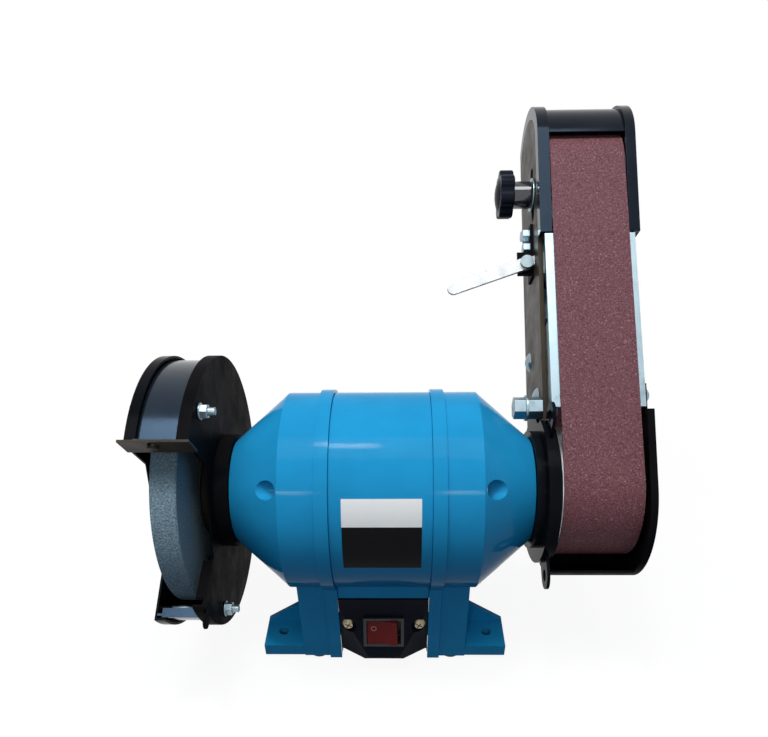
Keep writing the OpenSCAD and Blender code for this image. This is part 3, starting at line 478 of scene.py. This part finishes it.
@dataclass(frozen=True)
class LabelPrint(Finish):
    """A bare two-tone label: a white head over a black field, split at a height."""

    split_z: float
    field_colour: Colour = (0.006, 0.006, 0.007)
    shine: float = 0.05

    SPLIT_SOFT: ClassVar[float] = 0.15
    MOTTLE_SCALE: ClassVar[float] = 900.0
    MOTTLE_GAIN: ClassVar[float] = 0.94
    MOTTLE_STRENGTH: ClassVar[float] = 0.08
    MOTTLE_DEPTH: ClassVar[float] = 0.05
    SHEEN_SCALE: ClassVar[float] = 120.0

    def shade(self, graph: Graph) -> None:
        """Fill in the shader.

        Args:
            graph: Graph of the material.
        """
        upper = graph.beyond("Z", self.split_z, self.SPLIT_SOFT)
        mottle = graph.noise(self.MOTTLE_SCALE)
        white = graph.blend(mottle, self.colour, scaled(self.colour, self.MOTTLE_GAIN))
        smears = graph.noise(self.SHEEN_SCALE)
        graph.set(Base_Color=graph.blend(upper, self.field_colour, white),
                  Roughness=self.sheen(graph, smears, low=0.8, high=1.2),
                  Specular_IOR_Level=self.shine)
        graph.bump(mottle, self.MOTTLE_STRENGTH, self.MOTTLE_DEPTH)


class Palette:
    """All finishes of the machine, each built once."""

    FINISHES: tuple[Finish, ...] = (
        GlossPaint("blue_gloss", (0.013, 0.252, 0.500), 0.075, peel=0.02, drift=0.08, shine=0.02),
        # The blue tints on black_gloss and cap_gloss are painted reflections of bluish light from
        # above.
        GlossPaint("black_gloss", (0.007, 0.009, 0.013), 0.16, peel=0.04, drift=0.3, shine=0.42,
                   painted_reflection_tint=(0.34, 0.62, 1.0)),
        GlossPaint("cap_gloss", (0.006, 0.007, 0.010), 0.14, peel=0.04, drift=0.3, shine=0.15,
                   painted_reflection_tint=(0.40, 0.66, 1.0)),
        GlossPaint("hub_black", (0.005, 0.006, 0.008), 0.13, peel=0.03, drift=0.3, shine=0.012),
        GlossPaint("sheet_black", (0.006, 0.006, 0.007), 0.42, peel=0.03, drift=0.3, shine=0.005),
        # Black paint with a brown base colour: the brown is a painted reflection of brown
        # surroundings in the gloss.
        GlossPaint("black_painted_brown_reflection", (0.040, 0.031, 0.020), 0.38, peel=0.03, drift=0.3, shine=0.10),
        # The tension lever's zinc is a lighter, less metallic copy of zinc_plate: painted light
        # for the light its top face catches. dull_zinc, for the lever pin, is a darker copy of
        # it.
        PlatedMetal("zinc_plate", (0.27, 0.355, 0.40), 0.36, lines=ZINC_LINES, depth=0.01),
        PlatedMetal("zinc_painted_light", (0.56, 0.58, 0.58), 0.45, lines=ZINC_LINES, depth=0.01,
                    metal=0.2),
        PlatedMetal("dull_zinc", (0.16, 0.20, 0.22), 0.42, lines=ZINC_LINES, depth=0.01),
        PlatedMetal("turned_steel", (0.62, 0.63, 0.65), 0.30),
        PlatedMetal("sheet_stack", (0.36, 0.37, 0.39), 0.45, lines=(3000.0, 40.0, 40.0)),
        PlatedMetal("winding_wire", (0.66, 0.27, 0.10), 0.35, lines=(500.0, 1600.0, 1600.0),
                    depth=0.2),
        PlatedMetal("yellow_zinc", (0.34, 0.30, 0.21), 0.40, lines=(200.0, 200.0, 200.0),
                    drift=0.2),
        PlatedMetal("turned_aluminium", (0.76, 0.77, 0.79), 0.28, lines=(1600.0, 20.0, 20.0)),
        PlatedMetal("oiled_bronze", (0.60, 0.40, 0.16), 0.38, lines=(300.0, 300.0, 300.0)),
        MouldedPlastic("black_moulding", (0.005, 0.007, 0.013), 0.26, shine=0.03),
        NeckedKnob("knob_moulding", (0.005, 0.007, 0.013), 0.26, shine=0.03,
                   neck_x=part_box("tracking_knob")[1][0] / MM - KNOB_NECK),
        # The bezel is dark grey, lighter than the black mouldings partly as painted highlight for
        # the light line along its edge.
        MouldedPlastic("bezel_moulding", (0.022, 0.022, 0.024), 0.30, shine=0.30),
        MouldedPlastic("foot_rubber", (0.014, 0.014, 0.015), 0.7, grain=1400.0, depth=0.08,
                       shine=0.2),
        MouldedPlastic("red_moulding", (0.15, 0.010, 0.009), 0.2, grain=900.0, depth=0.01,
                       shine=0.08),
        MouldedPlastic("pale_case", (0.80, 0.80, 0.77), 0.4),
        MouldedPlastic("natural_nylon", (0.83, 0.80, 0.70), 0.5),
        MouldedPlastic("blotting_paper", (0.035, 0.038, 0.042), 0.9, grain=1200.0, depth=0.1,
                       shine=0.1),
        MouldedPlastic("ring_print", (0.42, 0.26, 0.24), 0.5, shine=0.1),
        AbrasiveGrain("wheel_grain", (0.190, 0.285, 0.340), 0.92, pore=(0.080, 0.120, 0.145),
                      spark=(0.36, 0.47, 0.53), grain=1000.0),
        # The belt's blue-tinted sheen is a painted reflection of bluish light on its upward
        # faces.
        AbrasiveGrain("belt_grain", (0.150, 0.055, 0.060), 0.62, pore=(0.060, 0.016, 0.017),
                      spark=(0.34, 0.18, 0.19), grain=900.0, patch=0.12, shine=0.3,
                      painted_reflection_tint=(0.55, 0.72, 1.0)),
    )

    def __init__(self) -> None:
        """Build every material."""
        self.materials = {f.name: f.build() for f in self.FINISHES}

    def __getitem__(self, name: str) -> bpy.types.Material:
        """Return the material of a finish."""
        return self.materials[name]


@dataclass(frozen=True)
class SoftBox:
    """A rectangular lamp, with places and sizes in metres and its power in watts."""

    name: str
    place: Point
    aim: Point
    size: tuple[float, float]
    watts: float

    def hang(self) -> None:
        """Put the lamp in the scene."""
        data = bpy.data.lights.new(self.name, "AREA")
        data.shape = "RECTANGLE"
        data.size, data.size_y = self.size
        data.energy = self.watts
        obj = bpy.data.objects.new(self.name, data)
        obj.location = self.place
        ahead = Vector(self.aim) - Vector(self.place)
        obj.rotation_euler = ahead.to_track_quat("-Z", "Y").to_euler()
        bpy.context.scene.collection.objects.link(obj)


class Studio:
    """Camera, pale floor and soft lamps.

    The camera's place and angles, in radians, come from a fit to the photograph's edges.
    """

    EYE: Point = (11.392, -370.207, 408.75)
    YAW: float = -0.029
    PITCH: float = -0.658
    ROLL: float = -0.02
    FOCAL_PX: float = 679.115
    FRAME_PX: tuple[int, int] = (768, 737)
    AXIS_Y_PX: float = 490.385
    SENSOR: float = 36.0
    NEAREST: float = 10.0

    # Sizes of the floor and of the shadow's fade are in metres.
    FLOOR_SIZE: float = 8.0
    FLOOR_ROUGHNESS: float = 0.9
    FLOOR_THROW: Colour = (0.03, 0.055, 0.085)
    GLOW_BY_PART: float = 0.92
    GLOW_FAR_OFF: float = 1.0
    GLOW_REACH: Band = (0.2, 0.5)
    ROOM_LOW: Colour = (0.005, 0.036, 0.095)
    ROOM_HIGH: Colour = (0.26, 0.29, 0.32)
    ROOM_TOP: float = 0.9

    # The strips look at the middle of the machine; lamps are placed in metres.
    MIDDLE: Point = (0.0, 0.0, 0.15)
    LAMPS: tuple[SoftBox, ...] = (
        SoftBox("ceiling_box", (-0.12, -0.13, 1.35), (-0.12, -0.13, 0.0), (1.04, 0.56), 11.8),
        SoftBox("ceiling_spot", (-0.11, -0.07, 1.34), (-0.11, -0.07, 0.0), (0.14, 0.12), 4.5),
        SoftBox("left_strip", (-0.335, -1.45, 1.146), MIDDLE, (0.12, 0.02), 1.5),
        SoftBox("left_low_strip", (-0.335, -1.45, 1.07), MIDDLE, (0.12, 0.012), 0.85),
        SoftBox("right_strip", (0.205, -1.45, 1.146), MIDDLE, (0.12, 0.02), 1.5),
        SoftBox("right_low_strip", (0.205, -1.45, 1.07), MIDDLE, (0.12, 0.012), 0.85),
    )

    def camera(self) -> None:
        """Place the camera where the photograph was taken from."""
        sy, cy = math.sin(self.YAW), math.cos(self.YAW)
        sp, cp = math.sin(self.PITCH), math.cos(self.PITCH)
        sr, cr = math.sin(self.ROLL), math.cos(self.ROLL)
        ahead = Vector((sy * cp, cy * cp, sp))
        right = Vector((cy, -sy, 0.0))
        up = right.cross(ahead)
        side, top = right * cr + up * sr, up * cr - right * sr
        width_px, height_px = self.FRAME_PX
        data = bpy.data.cameras.new("photo_camera")
        data.sensor_fit = "HORIZONTAL"
        data.sensor_width = self.SENSOR
        data.lens = self.SENSOR * self.FOCAL_PX / width_px
        data.shift_y = (self.AXIS_Y_PX - height_px / 2) / width_px
        data.clip_start = self.NEAREST * MM
        obj = bpy.data.objects.new("photo_camera", data)
        turn = Matrix((side, top, -ahead)).transposed()
        obj.matrix_world = Matrix.Translation(Vector(self.EYE) * MM) @ turn.to_4x4()
        bpy.context.scene.collection.objects.link(obj)
        bpy.context.scene.camera = obj

    @staticmethod
    def seen_white(tree: bpy.types.NodeTree) -> Socket:
        """Say which rays see the white surroundings: those of the camera, of gloss and of glass.

        Args:
            tree: Node tree to work in.

        Returns:
            1 for such a ray, else 0.
        """
        path = tree.nodes.new("ShaderNodeLightPath")
        total = path.outputs["Is Camera Ray"]
        for kind in ("Is Glossy Ray", "Is Transmission Ray"):
            step = tree.nodes.new("ShaderNodeMath")
            step.operation = "MAXIMUM"
            tree.links.new(total, step.inputs[0])
            tree.links.new(path.outputs[kind], step.inputs[1])
            total = step.outputs[0]
        return total

    @staticmethod
    def show_white(tree: bpy.types.NodeTree, share: Socket, dull: Socket, white: Socket,
                   output: str) -> None:
        """Mix a dull and a white shader into a tree's output.

        Args:
            tree: Node tree to work in.
            share: Share of the white shader.
            dull: The shader that lights the object.
            white: The shader that is seen.
            output: Name of the output node.
        """
        mix = tree.nodes.new("ShaderNodeMixShader")
        for source, socket in zip((share, dull, white), mix.inputs):
            tree.links.new(source, socket)
        tree.links.new(mix.outputs["Shader"], tree.nodes[output].inputs["Surface"])

    def floor(self) -> None:
        """Lay the floor: white to the eye apart from the shadow, dull to the light it throws."""
        bpy.ops.object.select_all(action="DESELECT")
        bpy.ops.mesh.primitive_plane_add(size=self.FLOOR_SIZE, location=(0.0, 0.0, 0.0))
        plane = bpy.context.object
        plane.name = "pale_floor"
        graph = Graph("pale_floor")
        seen = self.seen_white(graph.tree)
        reach = graph.add("ShaderNodeVectorMath")
        reach.operation = "LENGTH"
        graph.feed(reach.inputs[0], graph.coords)
        glowing = graph.add("ShaderNodeMath")
        glowing.operation = "MULTIPLY"
        graph.feed(glowing.inputs[0], seen)
        graph.feed(glowing.inputs[1], graph.span(reach.outputs["Value"], self.GLOW_BY_PART,
                                                 self.GLOW_FAR_OFF, self.GLOW_REACH))
        graph.set(Base_Color=graph.blend(seen, self.FLOOR_THROW, WHITE),
                  Roughness=self.FLOOR_ROUGHNESS, Specular_IOR_Level=0.0)
        glow = graph.add("ShaderNodeEmission", Color=(*WHITE, 1.0), Strength=1.0)
        self.show_white(graph.tree, glowing.outputs[0], graph.shader.outputs["BSDF"],
                        glow.outputs["Emission"], "Material Output")
        plane.data.materials.append(graph.material)

    def world(self) -> None:
        """Light the room from above, dimmer towards the horizon, and show it white to the eye."""
        world = bpy.data.worlds.new("studio")
        bpy.context.scene.world = world
        world.use_nodes = True
        tree = world.node_tree
        room = tree.nodes["Background"]
        coords = tree.nodes.new("ShaderNodeTexCoord")
        height = tree.nodes.new("ShaderNodeSeparateXYZ")
        tree.links.new(coords.outputs["Generated"], height.inputs["Vector"])
        ramp = tree.nodes.new("ShaderNodeValToRGB")
        low, high = ramp.color_ramp.elements
        low.position, low.color = 0.0, (*self.ROOM_LOW, 1.0)
        high.position, high.color = self.ROOM_TOP, (*self.ROOM_HIGH, 1.0)
        tree.links.new(height.outputs["Z"], ramp.inputs["Fac"])
        tree.links.new(ramp.outputs["Color"], room.inputs["Color"])
        white = tree.nodes.new("ShaderNodeBackground")
        white.inputs["Color"].default_value = (*WHITE, 1.0)
        white.inputs["Strength"].default_value = 1.0
        self.show_white(tree, self.seen_white(tree), room.outputs["Background"],
                        white.outputs["Background"], "World Output")

    def build(self) -> None:
        """Set up the whole studio."""
        self.camera()
        self.floor()
        self.world()
        for lamp in self.LAMPS:
            lamp.hang()
        bpy.context.scene.view_settings.view_transform = "Standard"


class Bench:
    """Edit-mode moves that the pieces are made with."""

    WELD: float = 0.002
    FLAT_DEG: float = 0.4

    @staticmethod
    def clear() -> None:
        """Leave edit mode and deselect everything."""
        if bpy.context.object and bpy.context.object.mode != "OBJECT":
            bpy.ops.object.mode_set(mode="OBJECT")
        bpy.ops.object.select_all(action="DESELECT")

    @staticmethod
    def focus(obj: bpy.types.Object) -> None:
        """Select one object alone.

        Args:
            obj: The object.
        """
        Bench.clear()
        obj.select_set(True)
        bpy.context.view_layer.objects.active = obj

    @staticmethod
    def copy_node(node: str, name: str) -> bpy.types.Object:
        """Copy a node of the frame and merge its loose triangles.

        Args:
            node: Name of the node.
            name: Name of the copy.

        Returns:
            The copy, with flat areas made one face each.
        """
        source = frame["nodes"][node]
        obj = bpy.data.objects.new(name, source.data.copy())
        bpy.context.scene.collection.objects.link(obj)
        Bench.focus(obj)
        bpy.ops.object.mode_set(mode="EDIT")
        bpy.ops.mesh.select_all(action="SELECT")
        bpy.ops.mesh.customdata_custom_splitnormals_clear()
        bpy.ops.mesh.remove_doubles(threshold=Bench.WELD * MM)
        bpy.ops.mesh.dissolve_limited(angle_limit=math.radians(Bench.FLAT_DEG))
        bpy.ops.object.mode_set(mode="OBJECT")
        return obj

    @staticmethod
    def pick(obj: bpy.types.Object, test: Callable[[Vector], bool]) -> None:
        """Go to edit mode with the points that pass a test selected.

        Args:
            obj: The piece.
            test: Says yes or no to a point's place, in metres.
        """
        Bench.focus(obj)
        mesh = obj.data
        for group in (mesh.polygons, mesh.edges, mesh.vertices):
            group.foreach_set("select", [False] * len(group))
        for vert in mesh.vertices:
            vert.select = test(vert.co)
        bpy.ops.object.mode_set(mode="EDIT")
        bpy.ops.mesh.select_mode(type="VERT")

    @staticmethod
    def face_outwards() -> None:
        """Turn all faces of the piece in edit mode outwards and go back to object mode."""
        bpy.ops.mesh.select_all(action="SELECT")
        bpy.ops.mesh.normals_make_consistent(inside=False)
        bpy.ops.object.mode_set(mode="OBJECT")

    @staticmethod
    def freeze(obj: bpy.types.Object) -> None:
        """Take an object's place, turn and scale up into its mesh."""
        Bench.focus(obj)
        bpy.ops.object.transform_apply(location=True, rotation=True, scale=True)

    @staticmethod
    def apply(obj: bpy.types.Object, kind: str, **settings: object) -> None:
        """Add a modifier and apply it.

        Args:
            obj: The piece.
            kind: Type of the modifier.
            **settings: Its settings.
        """
        Bench.focus(obj)
        mod = obj.modifiers.new(kind.lower(), kind)
        for key, value in settings.items():
            setattr(mod, key, value)
        bpy.ops.object.modifier_apply(modifier=mod.name)

    @staticmethod
    def stand_for(obj: bpy.types.Object, node: str) -> None:
        """Let a piece stand for a node, on the node's own body.

        Args:
            obj: The piece.
            node: Name of the node.
        """
        bodies = frame["record"]["behaviour"]["bodies"]
        owner = {n: b for b, ns in bodies.items() for n in ns}
        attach(obj, owner[node])
        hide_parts(node)
        LOG.info("%s: %d faces", obj.name, len(obj.data.polygons))

    @staticmethod
    def smooth(obj: bpy.types.Object, angle: float = 32.0) -> None:
        """Smooth a piece where its faces meet at less than an angle in degrees."""
        Bench.focus(obj)
        bpy.ops.object.shade_smooth_by_angle(angle=math.radians(angle))


@dataclass
class SoftEdges:
    """Nodes whose edges are rounded as the real castings, pressings and mouldings are."""

    widths: dict[str, float] = field(default_factory=lambda: {
        "left_end_bell": 1.2, "right_end_bell": 1.2, "motor_shell": 0.5, "switch_panel": 0.9,
        "tracking_knob": 1.2, "top_cap": 0.9, "guard_cover": 0.6, "guard_pan": 0.5,
        "drum_cover": 0.6, "tension_lever": 0.5, "switch_body": 0.6, "rocker": 0.5,
        "arm_hub": 0.4, "arm_plate": 0.5, "lever_bracket": 0.3, "rubber_feet": 0.4,
        "platen": 0.4, "guard_bolts": 0.4, "rest_bolt": 0.5, "bracket_screws": 0.4,
        "wheel_nut": 0.5, "tie_bolts": 0.4, "cap_screws": 0.5, "spark_deflector": 0.3,
        "guard_band": 0.3, "deflector_screw": 0.4, "cord_grommet": 0.6, "knob_stud": 0.2,
        "spring_cup": 0.3})

    SEGMENTS: ClassVar[int] = 3
    NORMAL_WEIGHT: ClassVar[int] = 60

    @staticmethod
    def mark_convex(obj: bpy.types.Object, least: float = 28.0) -> None:
        """Give full bevel weight to the outward edges, so that inner corners stay as they are.

        Args:
            obj: The piece.
            least: Smallest angle between the two faces, in degrees.
        """
        mesh = obj.data
        sides: dict[tuple[int, int], list[tuple[Vector, Vector]]] = {}
        for face in mesh.polygons:
            ring = list(face.vertices)
            for a, b in zip(ring, ring[1:] + ring[:1]):
                along = mesh.vertices[b].co - mesh.vertices[a].co
                sides.setdefault((min(a, b), max(a, b)), []).append((face.normal.copy(), along))
        weight = mesh.attributes.new("bevel_weight_edge", "FLOAT", "EDGE")
        limit = math.cos(math.radians(least))
        for edge in mesh.edges:
            pair = sides.get(tuple(sorted(edge.vertices)), [])
            if len(pair) == 2 and pair[0][0].dot(pair[1][0]) < limit:
                inward = pair[1][0].cross(pair[1][1])
                weight.data[edge.index].value = 1.0 if inward.dot(pair[0][0]) < 0.0 else 0.0

    def build(self, dress: Callable[[bpy.types.Object, str], None]) -> None:
        """Round each node's outward edges on a copy that stands for it.

        Args:
            dress: Called with each copy and its node, to give it its finish.
        """
        for node, width in self.widths.items():
            piece = Bench.copy_node(node, node + "_rounded")
            self.mark_convex(piece)
            Bench.apply(piece, "BEVEL", width=width * MM, segments=self.SEGMENTS,
                        limit_method="WEIGHT", use_clamp_overlap=True, miter_outer="MITER_ARC")
            Bench.smooth(piece)
            Bench.apply(piece, "WEIGHTED_NORMAL", keep_sharp=True, weight=self.NORMAL_WEIGHT)
            dress(piece, node)
            Bench.stand_for(piece, node)


class Dresser:
    """Gives each node and piece its finish."""

    FINISH_OF_SLOT: dict[str, str] = {
        "blue_paint": "blue_gloss", "lamination": "sheet_stack", "copper": "winding_wire",
        "zinc": "zinc_plate", "steel": "turned_steel", "black_paint": "black_gloss",
        "rubber": "foot_rubber", "black_plastic": "black_moulding", "brass_screw": "yellow_zinc",
        "red_plastic": "red_moulding", "can": "pale_case", "terminal": "natural_nylon",
        "paper": "blotting_paper", "wheel_grain": "wheel_grain", "belt_grain": "belt_grain",
        "drum_metal": "turned_aluminium", "bronze": "oiled_bronze"}
    # The arm plate, spark deflector, its screw and the wheel flanges take black paint with a
    # painted brown reflection.
    FINISH_OF_NODE: dict[str, str] = {
        "arm_plate": "black_painted_brown_reflection", "guard_pan": "sheet_black", "drum_cover": "sheet_black",
        "lever_bracket": "sheet_black", "spark_deflector": "black_painted_brown_reflection",
        "deflector_screw": "black_painted_brown_reflection", "wheel_flanges": "black_painted_brown_reflection",
        "tension_lever": "zinc_painted_light", "tracking_knob": "knob_moulding",
        "switch_body": "bezel_moulding", "lever_pin": "dull_zinc", "arm_hub": "hub_black",
        "guard_cover": "hub_black", "top_cap": "cap_gloss"}

    def __init__(self, palette: Palette) -> None:
        """Read which slot each node has.

        Args:
            palette: The finishes.
        """
        self.palette = palette
        self.slot_of = {s["node"]: s["material_slot"] for s in frame["record"]["subparts"]}

    def coat(self, obj: bpy.types.Object, finish: str) -> None:
        """Give a piece one finish.

        Args:
            obj: The piece.
            finish: Name of the finish.
        """
        obj.data.materials.clear()
        obj.data.materials.append(self.palette[finish])

    def finish_of(self, node: str) -> str:
        """Name the finish of a node, by its own entry or its slot's."""
        return self.FINISH_OF_NODE.get(node, self.FINISH_OF_SLOT[self.slot_of[node]])

    def like_node(self, obj: bpy.types.Object, node: str) -> None:
        """Give a piece the finish of a node."""
        self.coat(obj, self.finish_of(node))

    def dress_nodes(self) -> None:
        """Give every node of the frame its finish."""
        for name, obj in frame["nodes"].items():
            material = self.palette[self.finish_of(name)]
            for place in obj.material_slots:
                place.material = material
            if not obj.material_slots:
                obj.data.materials.append(material)


@dataclass
class RatingLabel:
    """The bare label on the front of the motor shell, its edges given in degrees of arc."""

    radius: float = 66.5
    width: float = 48.2
    middle_x: float = 0.6
    top: float = 33.0
    split: float = 18.0
    bottom: float = -9.0
    thick: float = 0.15
    facets: int = 360
    colour: Colour = (0.80, 0.81, 0.80)
    roughness: float = 0.35

    def build(self, dresser: Dresser) -> None:
        """Bend a thin plate round the shell.

        Args:
            dresser: Gives the label its finish.
        """
        Bench.clear()
        bpy.ops.mesh.primitive_circle_add(
            vertices=self.facets, radius=(self.radius + self.thick) * MM, fill_type="NOTHING",
            location=(0.0, 0.0, SHAFT_H * MM), rotation=(0.0, math.radians(90.0), 0.0))
        piece = bpy.context.object
        piece.name = "rating_label"
        Bench.freeze(piece)
        low, high = math.radians(self.bottom), math.radians(self.top)
        Bench.pick(piece, lambda co: not low <= math.atan2(co.z - SHAFT_H * MM, -co.y) <= high)
        bpy.ops.mesh.delete(type="VERT")
        bpy.ops.mesh.select_all(action="SELECT")
        bpy.ops.transform.translate(value=((self.middle_x - self.width / 2) * MM, 0.0, 0.0))
        bpy.ops.mesh.extrude_region_move(
            TRANSFORM_OT_translate={"value": (self.width * MM, 0.0, 0.0)})
        Bench.face_outwards()
        if piece.data.polygons[0].normal.y > 0:
            piece.data.flip_normals()
        Bench.apply(piece, "SOLIDIFY", thickness=self.thick * MM, offset=-1.0)
        Bench.smooth(piece)
        split_z = SHAFT_H + self.radius * math.sin(math.radians(self.split))
        label = LabelPrint("label_print", self.colour, self.roughness, split_z=split_z)
        dresser.palette.materials["label_print"] = label.build()
        dresser.coat(piece, "label_print")
        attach(piece, Part.BASE.value)
        LOG.info("label: %d faces", len(piece.data.polygons))


@dataclass
class CrossHeads:
    """Screw heads with a cross recess, cut into copies of the CAD screws."""

    node: str
    places: tuple[Point, ...]
    reach: float = 2.6
    slot: float = 0.9
    depth: float = 1.3
    turn: float = 31.0

    # The grid's inner points lie a third of the reach out, so all within this share of a third.
    INNER_SHARE: ClassVar[float] = 1.1
    # Only a corner square's middle lies further out both ways than this share of the slot.
    CORNER_SHARE: ClassVar[float] = 0.4

    def cutter(self, place: Point) -> bpy.types.Object:
        """Model the plus-shaped driver tip that cuts one recess.

        Args:
            place: Middle of the head's front face.

        Returns:
            The tip.
        """
        Bench.clear()
        bpy.ops.mesh.primitive_grid_add(x_subdivisions=3, y_subdivisions=3,
                                        size=2.0 * self.reach * MM)
        tip = bpy.context.object
        inner = self.reach / 3.0
        narrow = self.slot / (2.0 * inner)
        for axis, squeeze in ((0, (narrow, 1.0, 1.0)), (1, (1.0, narrow, 1.0))):
            Bench.pick(tip, lambda co: abs(co[axis]) < self.INNER_SHARE * inner * MM)
            bpy.ops.transform.resize(value=squeeze)
            bpy.ops.object.mode_set(mode="OBJECT")
        Bench.pick(tip, lambda co: False)
        bpy.ops.mesh.select_mode(type="FACE")
        bpy.ops.object.mode_set(mode="OBJECT")
        corner = self.CORNER_SHARE * self.slot * MM
        for face in tip.data.polygons:
            face.select = min(abs(face.center.x), abs(face.center.y)) > corner
        bpy.ops.object.mode_set(mode="EDIT")
        bpy.ops.mesh.delete(type="FACE")
        bpy.ops.mesh.select_all(action="SELECT")
        bpy.ops.mesh.extrude_region_move(
            TRANSFORM_OT_translate={"value": (0.0, 0.0, 2.0 * self.depth * MM)})
        Bench.face_outwards()
        tip.rotation_euler = (math.radians(90.0), math.radians(self.turn), 0.0)
        tip.location = (place[0] * MM, (place[1] + self.depth) * MM, place[2] * MM)
        return tip

    def build(self, dresser: Dresser) -> None:
        """Cut each recess.

        Args:
            dresser: Gives the screws their finish.
        """
        piece = Bench.copy_node(self.node, self.node + "_recessed")
        for place in self.places:
            tip = self.cutter(place)
            Bench.apply(piece, "BOOLEAN", operation="DIFFERENCE", solver="EXACT", object=tip)
            bpy.data.objects.remove(tip)
        Bench.smooth(piece)
        dresser.like_node(piece, self.node)
        Bench.stand_for(piece, self.node)


@dataclass
class RockerMark:
    """The raised ring on the rocker's left slope, with angles in degrees."""

    seat: Point = (0.0, -51.56, 36.5)
    lean: float = -18.0
    pivot: float = 4.0
    throw: float = -8.0
    place: Point = (-6.0, -7.06, 3.4)
    slope: float = 6.4
    radius: float = 1.9
    width: float = 0.5
    height: float = 0.22
    edge: float = 0.06
    facets: int = 48

    @staticmethod
    def turned(angle: float, axis: str) -> Matrix:
        """Make the matrix of a turn by an angle in degrees about an axis."""
        return Matrix.Rotation(math.radians(angle), 4, axis)

    def build(self, dresser: Dresser) -> None:
        """Model the ring flat, then set it on the rocker.

        Args:
            dresser: Gives the ring its finish.
        """
        Bench.clear()
        bpy.ops.mesh.primitive_circle_add(vertices=self.facets, radius=self.radius * MM,
                                          fill_type="NGON")
        ring = bpy.context.object
        ring.name = "rocker_ring"
        bpy.ops.object.mode_set(mode="EDIT")
        bpy.ops.mesh.select_all(action="SELECT")
        bpy.ops.mesh.inset(thickness=self.width * MM)
        bpy.ops.mesh.delete(type="FACE")
        Bench.face_outwards()
        Bench.apply(ring, "SOLIDIFY", thickness=self.height * MM, offset=0.0)
        Bench.apply(ring, "BEVEL", width=self.edge * MM, segments=2, limit_method="ANGLE")
        seat = Matrix.Translation(Vector(self.seat) * MM) @ self.turned(self.lean, "X")
        swing = Matrix.Translation((0.0, self.pivot * MM, 0.0)) @ self.turned(self.throw, "Z")
        slope = self.turned(self.slope, "Z") @ self.turned(90.0, "X")
        ring.matrix_world = seat @ swing @ Matrix.Translation(Vector(self.place) * MM) @ slope
        Bench.freeze(ring)
        Bench.smooth(ring)
        dresser.coat(ring, "ring_print")
        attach(ring, Part.ROCKER.value)
        LOG.info("rocker ring: %d faces", len(ring.data.polygons))


@dataclass
class TensionCoil:
    """The belt's coil spring, standing in its cup under the carriage's rod."""

    foot: float = 122.0
    length: float = 27.7
    mean_r: float = 5.0
    wire_r: float = 1.0
    turns: int = 7
    stroke: float = 6.0
    wire_facets: int = 12
    turn_steps: int = 32
    weld: float = 0.001
    smooth_deg: float = 60.0

    def build(self, dresser: Dresser) -> None:
        """Wind the wire and set it in the arm.

        Args:
            dresser: Gives the coil its finish.
        """
        Bench.clear()
        bpy.ops.mesh.primitive_circle_add(
            vertices=self.wire_facets, radius=self.wire_r * MM, fill_type="NOTHING",
            location=(self.mean_r * MM, 0.0, self.wire_r * MM),
            rotation=(math.radians(90.0), 0.0, 0.0))
        coil = bpy.context.object
        coil.name = "tension_coil"
        Bench.freeze(coil)
        pitch = (self.length - 2.0 * self.wire_r) / self.turns
        Bench.apply(coil, "SCREW", axis="Z", angle=math.tau, screw_offset=pitch * MM,
                    iterations=self.turns, steps=self.turn_steps, render_steps=self.turn_steps)
        Bench.focus(coil)
        bpy.ops.object.mode_set(mode="EDIT")
        bpy.ops.mesh.select_mode(type="EDGE")
        bpy.ops.mesh.select_all(action="SELECT")
        bpy.ops.mesh.remove_doubles(threshold=self.weld * MM)
        bpy.ops.mesh.select_all(action="DESELECT")
        bpy.ops.mesh.select_non_manifold()
        bpy.ops.mesh.fill_holes(sides=0)
        Bench.face_outwards()
        low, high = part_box("tension_spring")
        lean_s, lean_c = math.sin(ARM_LEAN), math.cos(ARM_LEAN)
        seat = Vector(((low[0] + high[0]) / 2.0, self.foot * lean_s * MM,
                       (self.foot * lean_c + SHAFT_H) * MM))
        coil.matrix_world = Matrix.Translation(seat) @ Matrix.Rotation(-ARM_LEAN, 4, "X")
        Bench.freeze(coil)
        Bench.smooth(coil, self.smooth_deg)
        dresser.like_node(coil, "tension_spring")
        Bench.stand_for(coil, "tension_spring")
        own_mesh(coil)


def main() -> None:
    """Build the studio and every piece, in order."""
    logging.basicConfig(level=logging.INFO, format="%(message)s")
    Studio().build()
    palette = Palette()
    dresser = Dresser(palette)
    dresser.dress_nodes()
    SoftEdges().build(dresser.like_node)
    RatingLabel().build(dresser)
    CrossHeads("panel_screws", PANEL_SCREWS).build(dresser)
    RockerMark().build(dresser)
    TensionCoil().build(dresser)


if __name__ == "__main__":
    main()
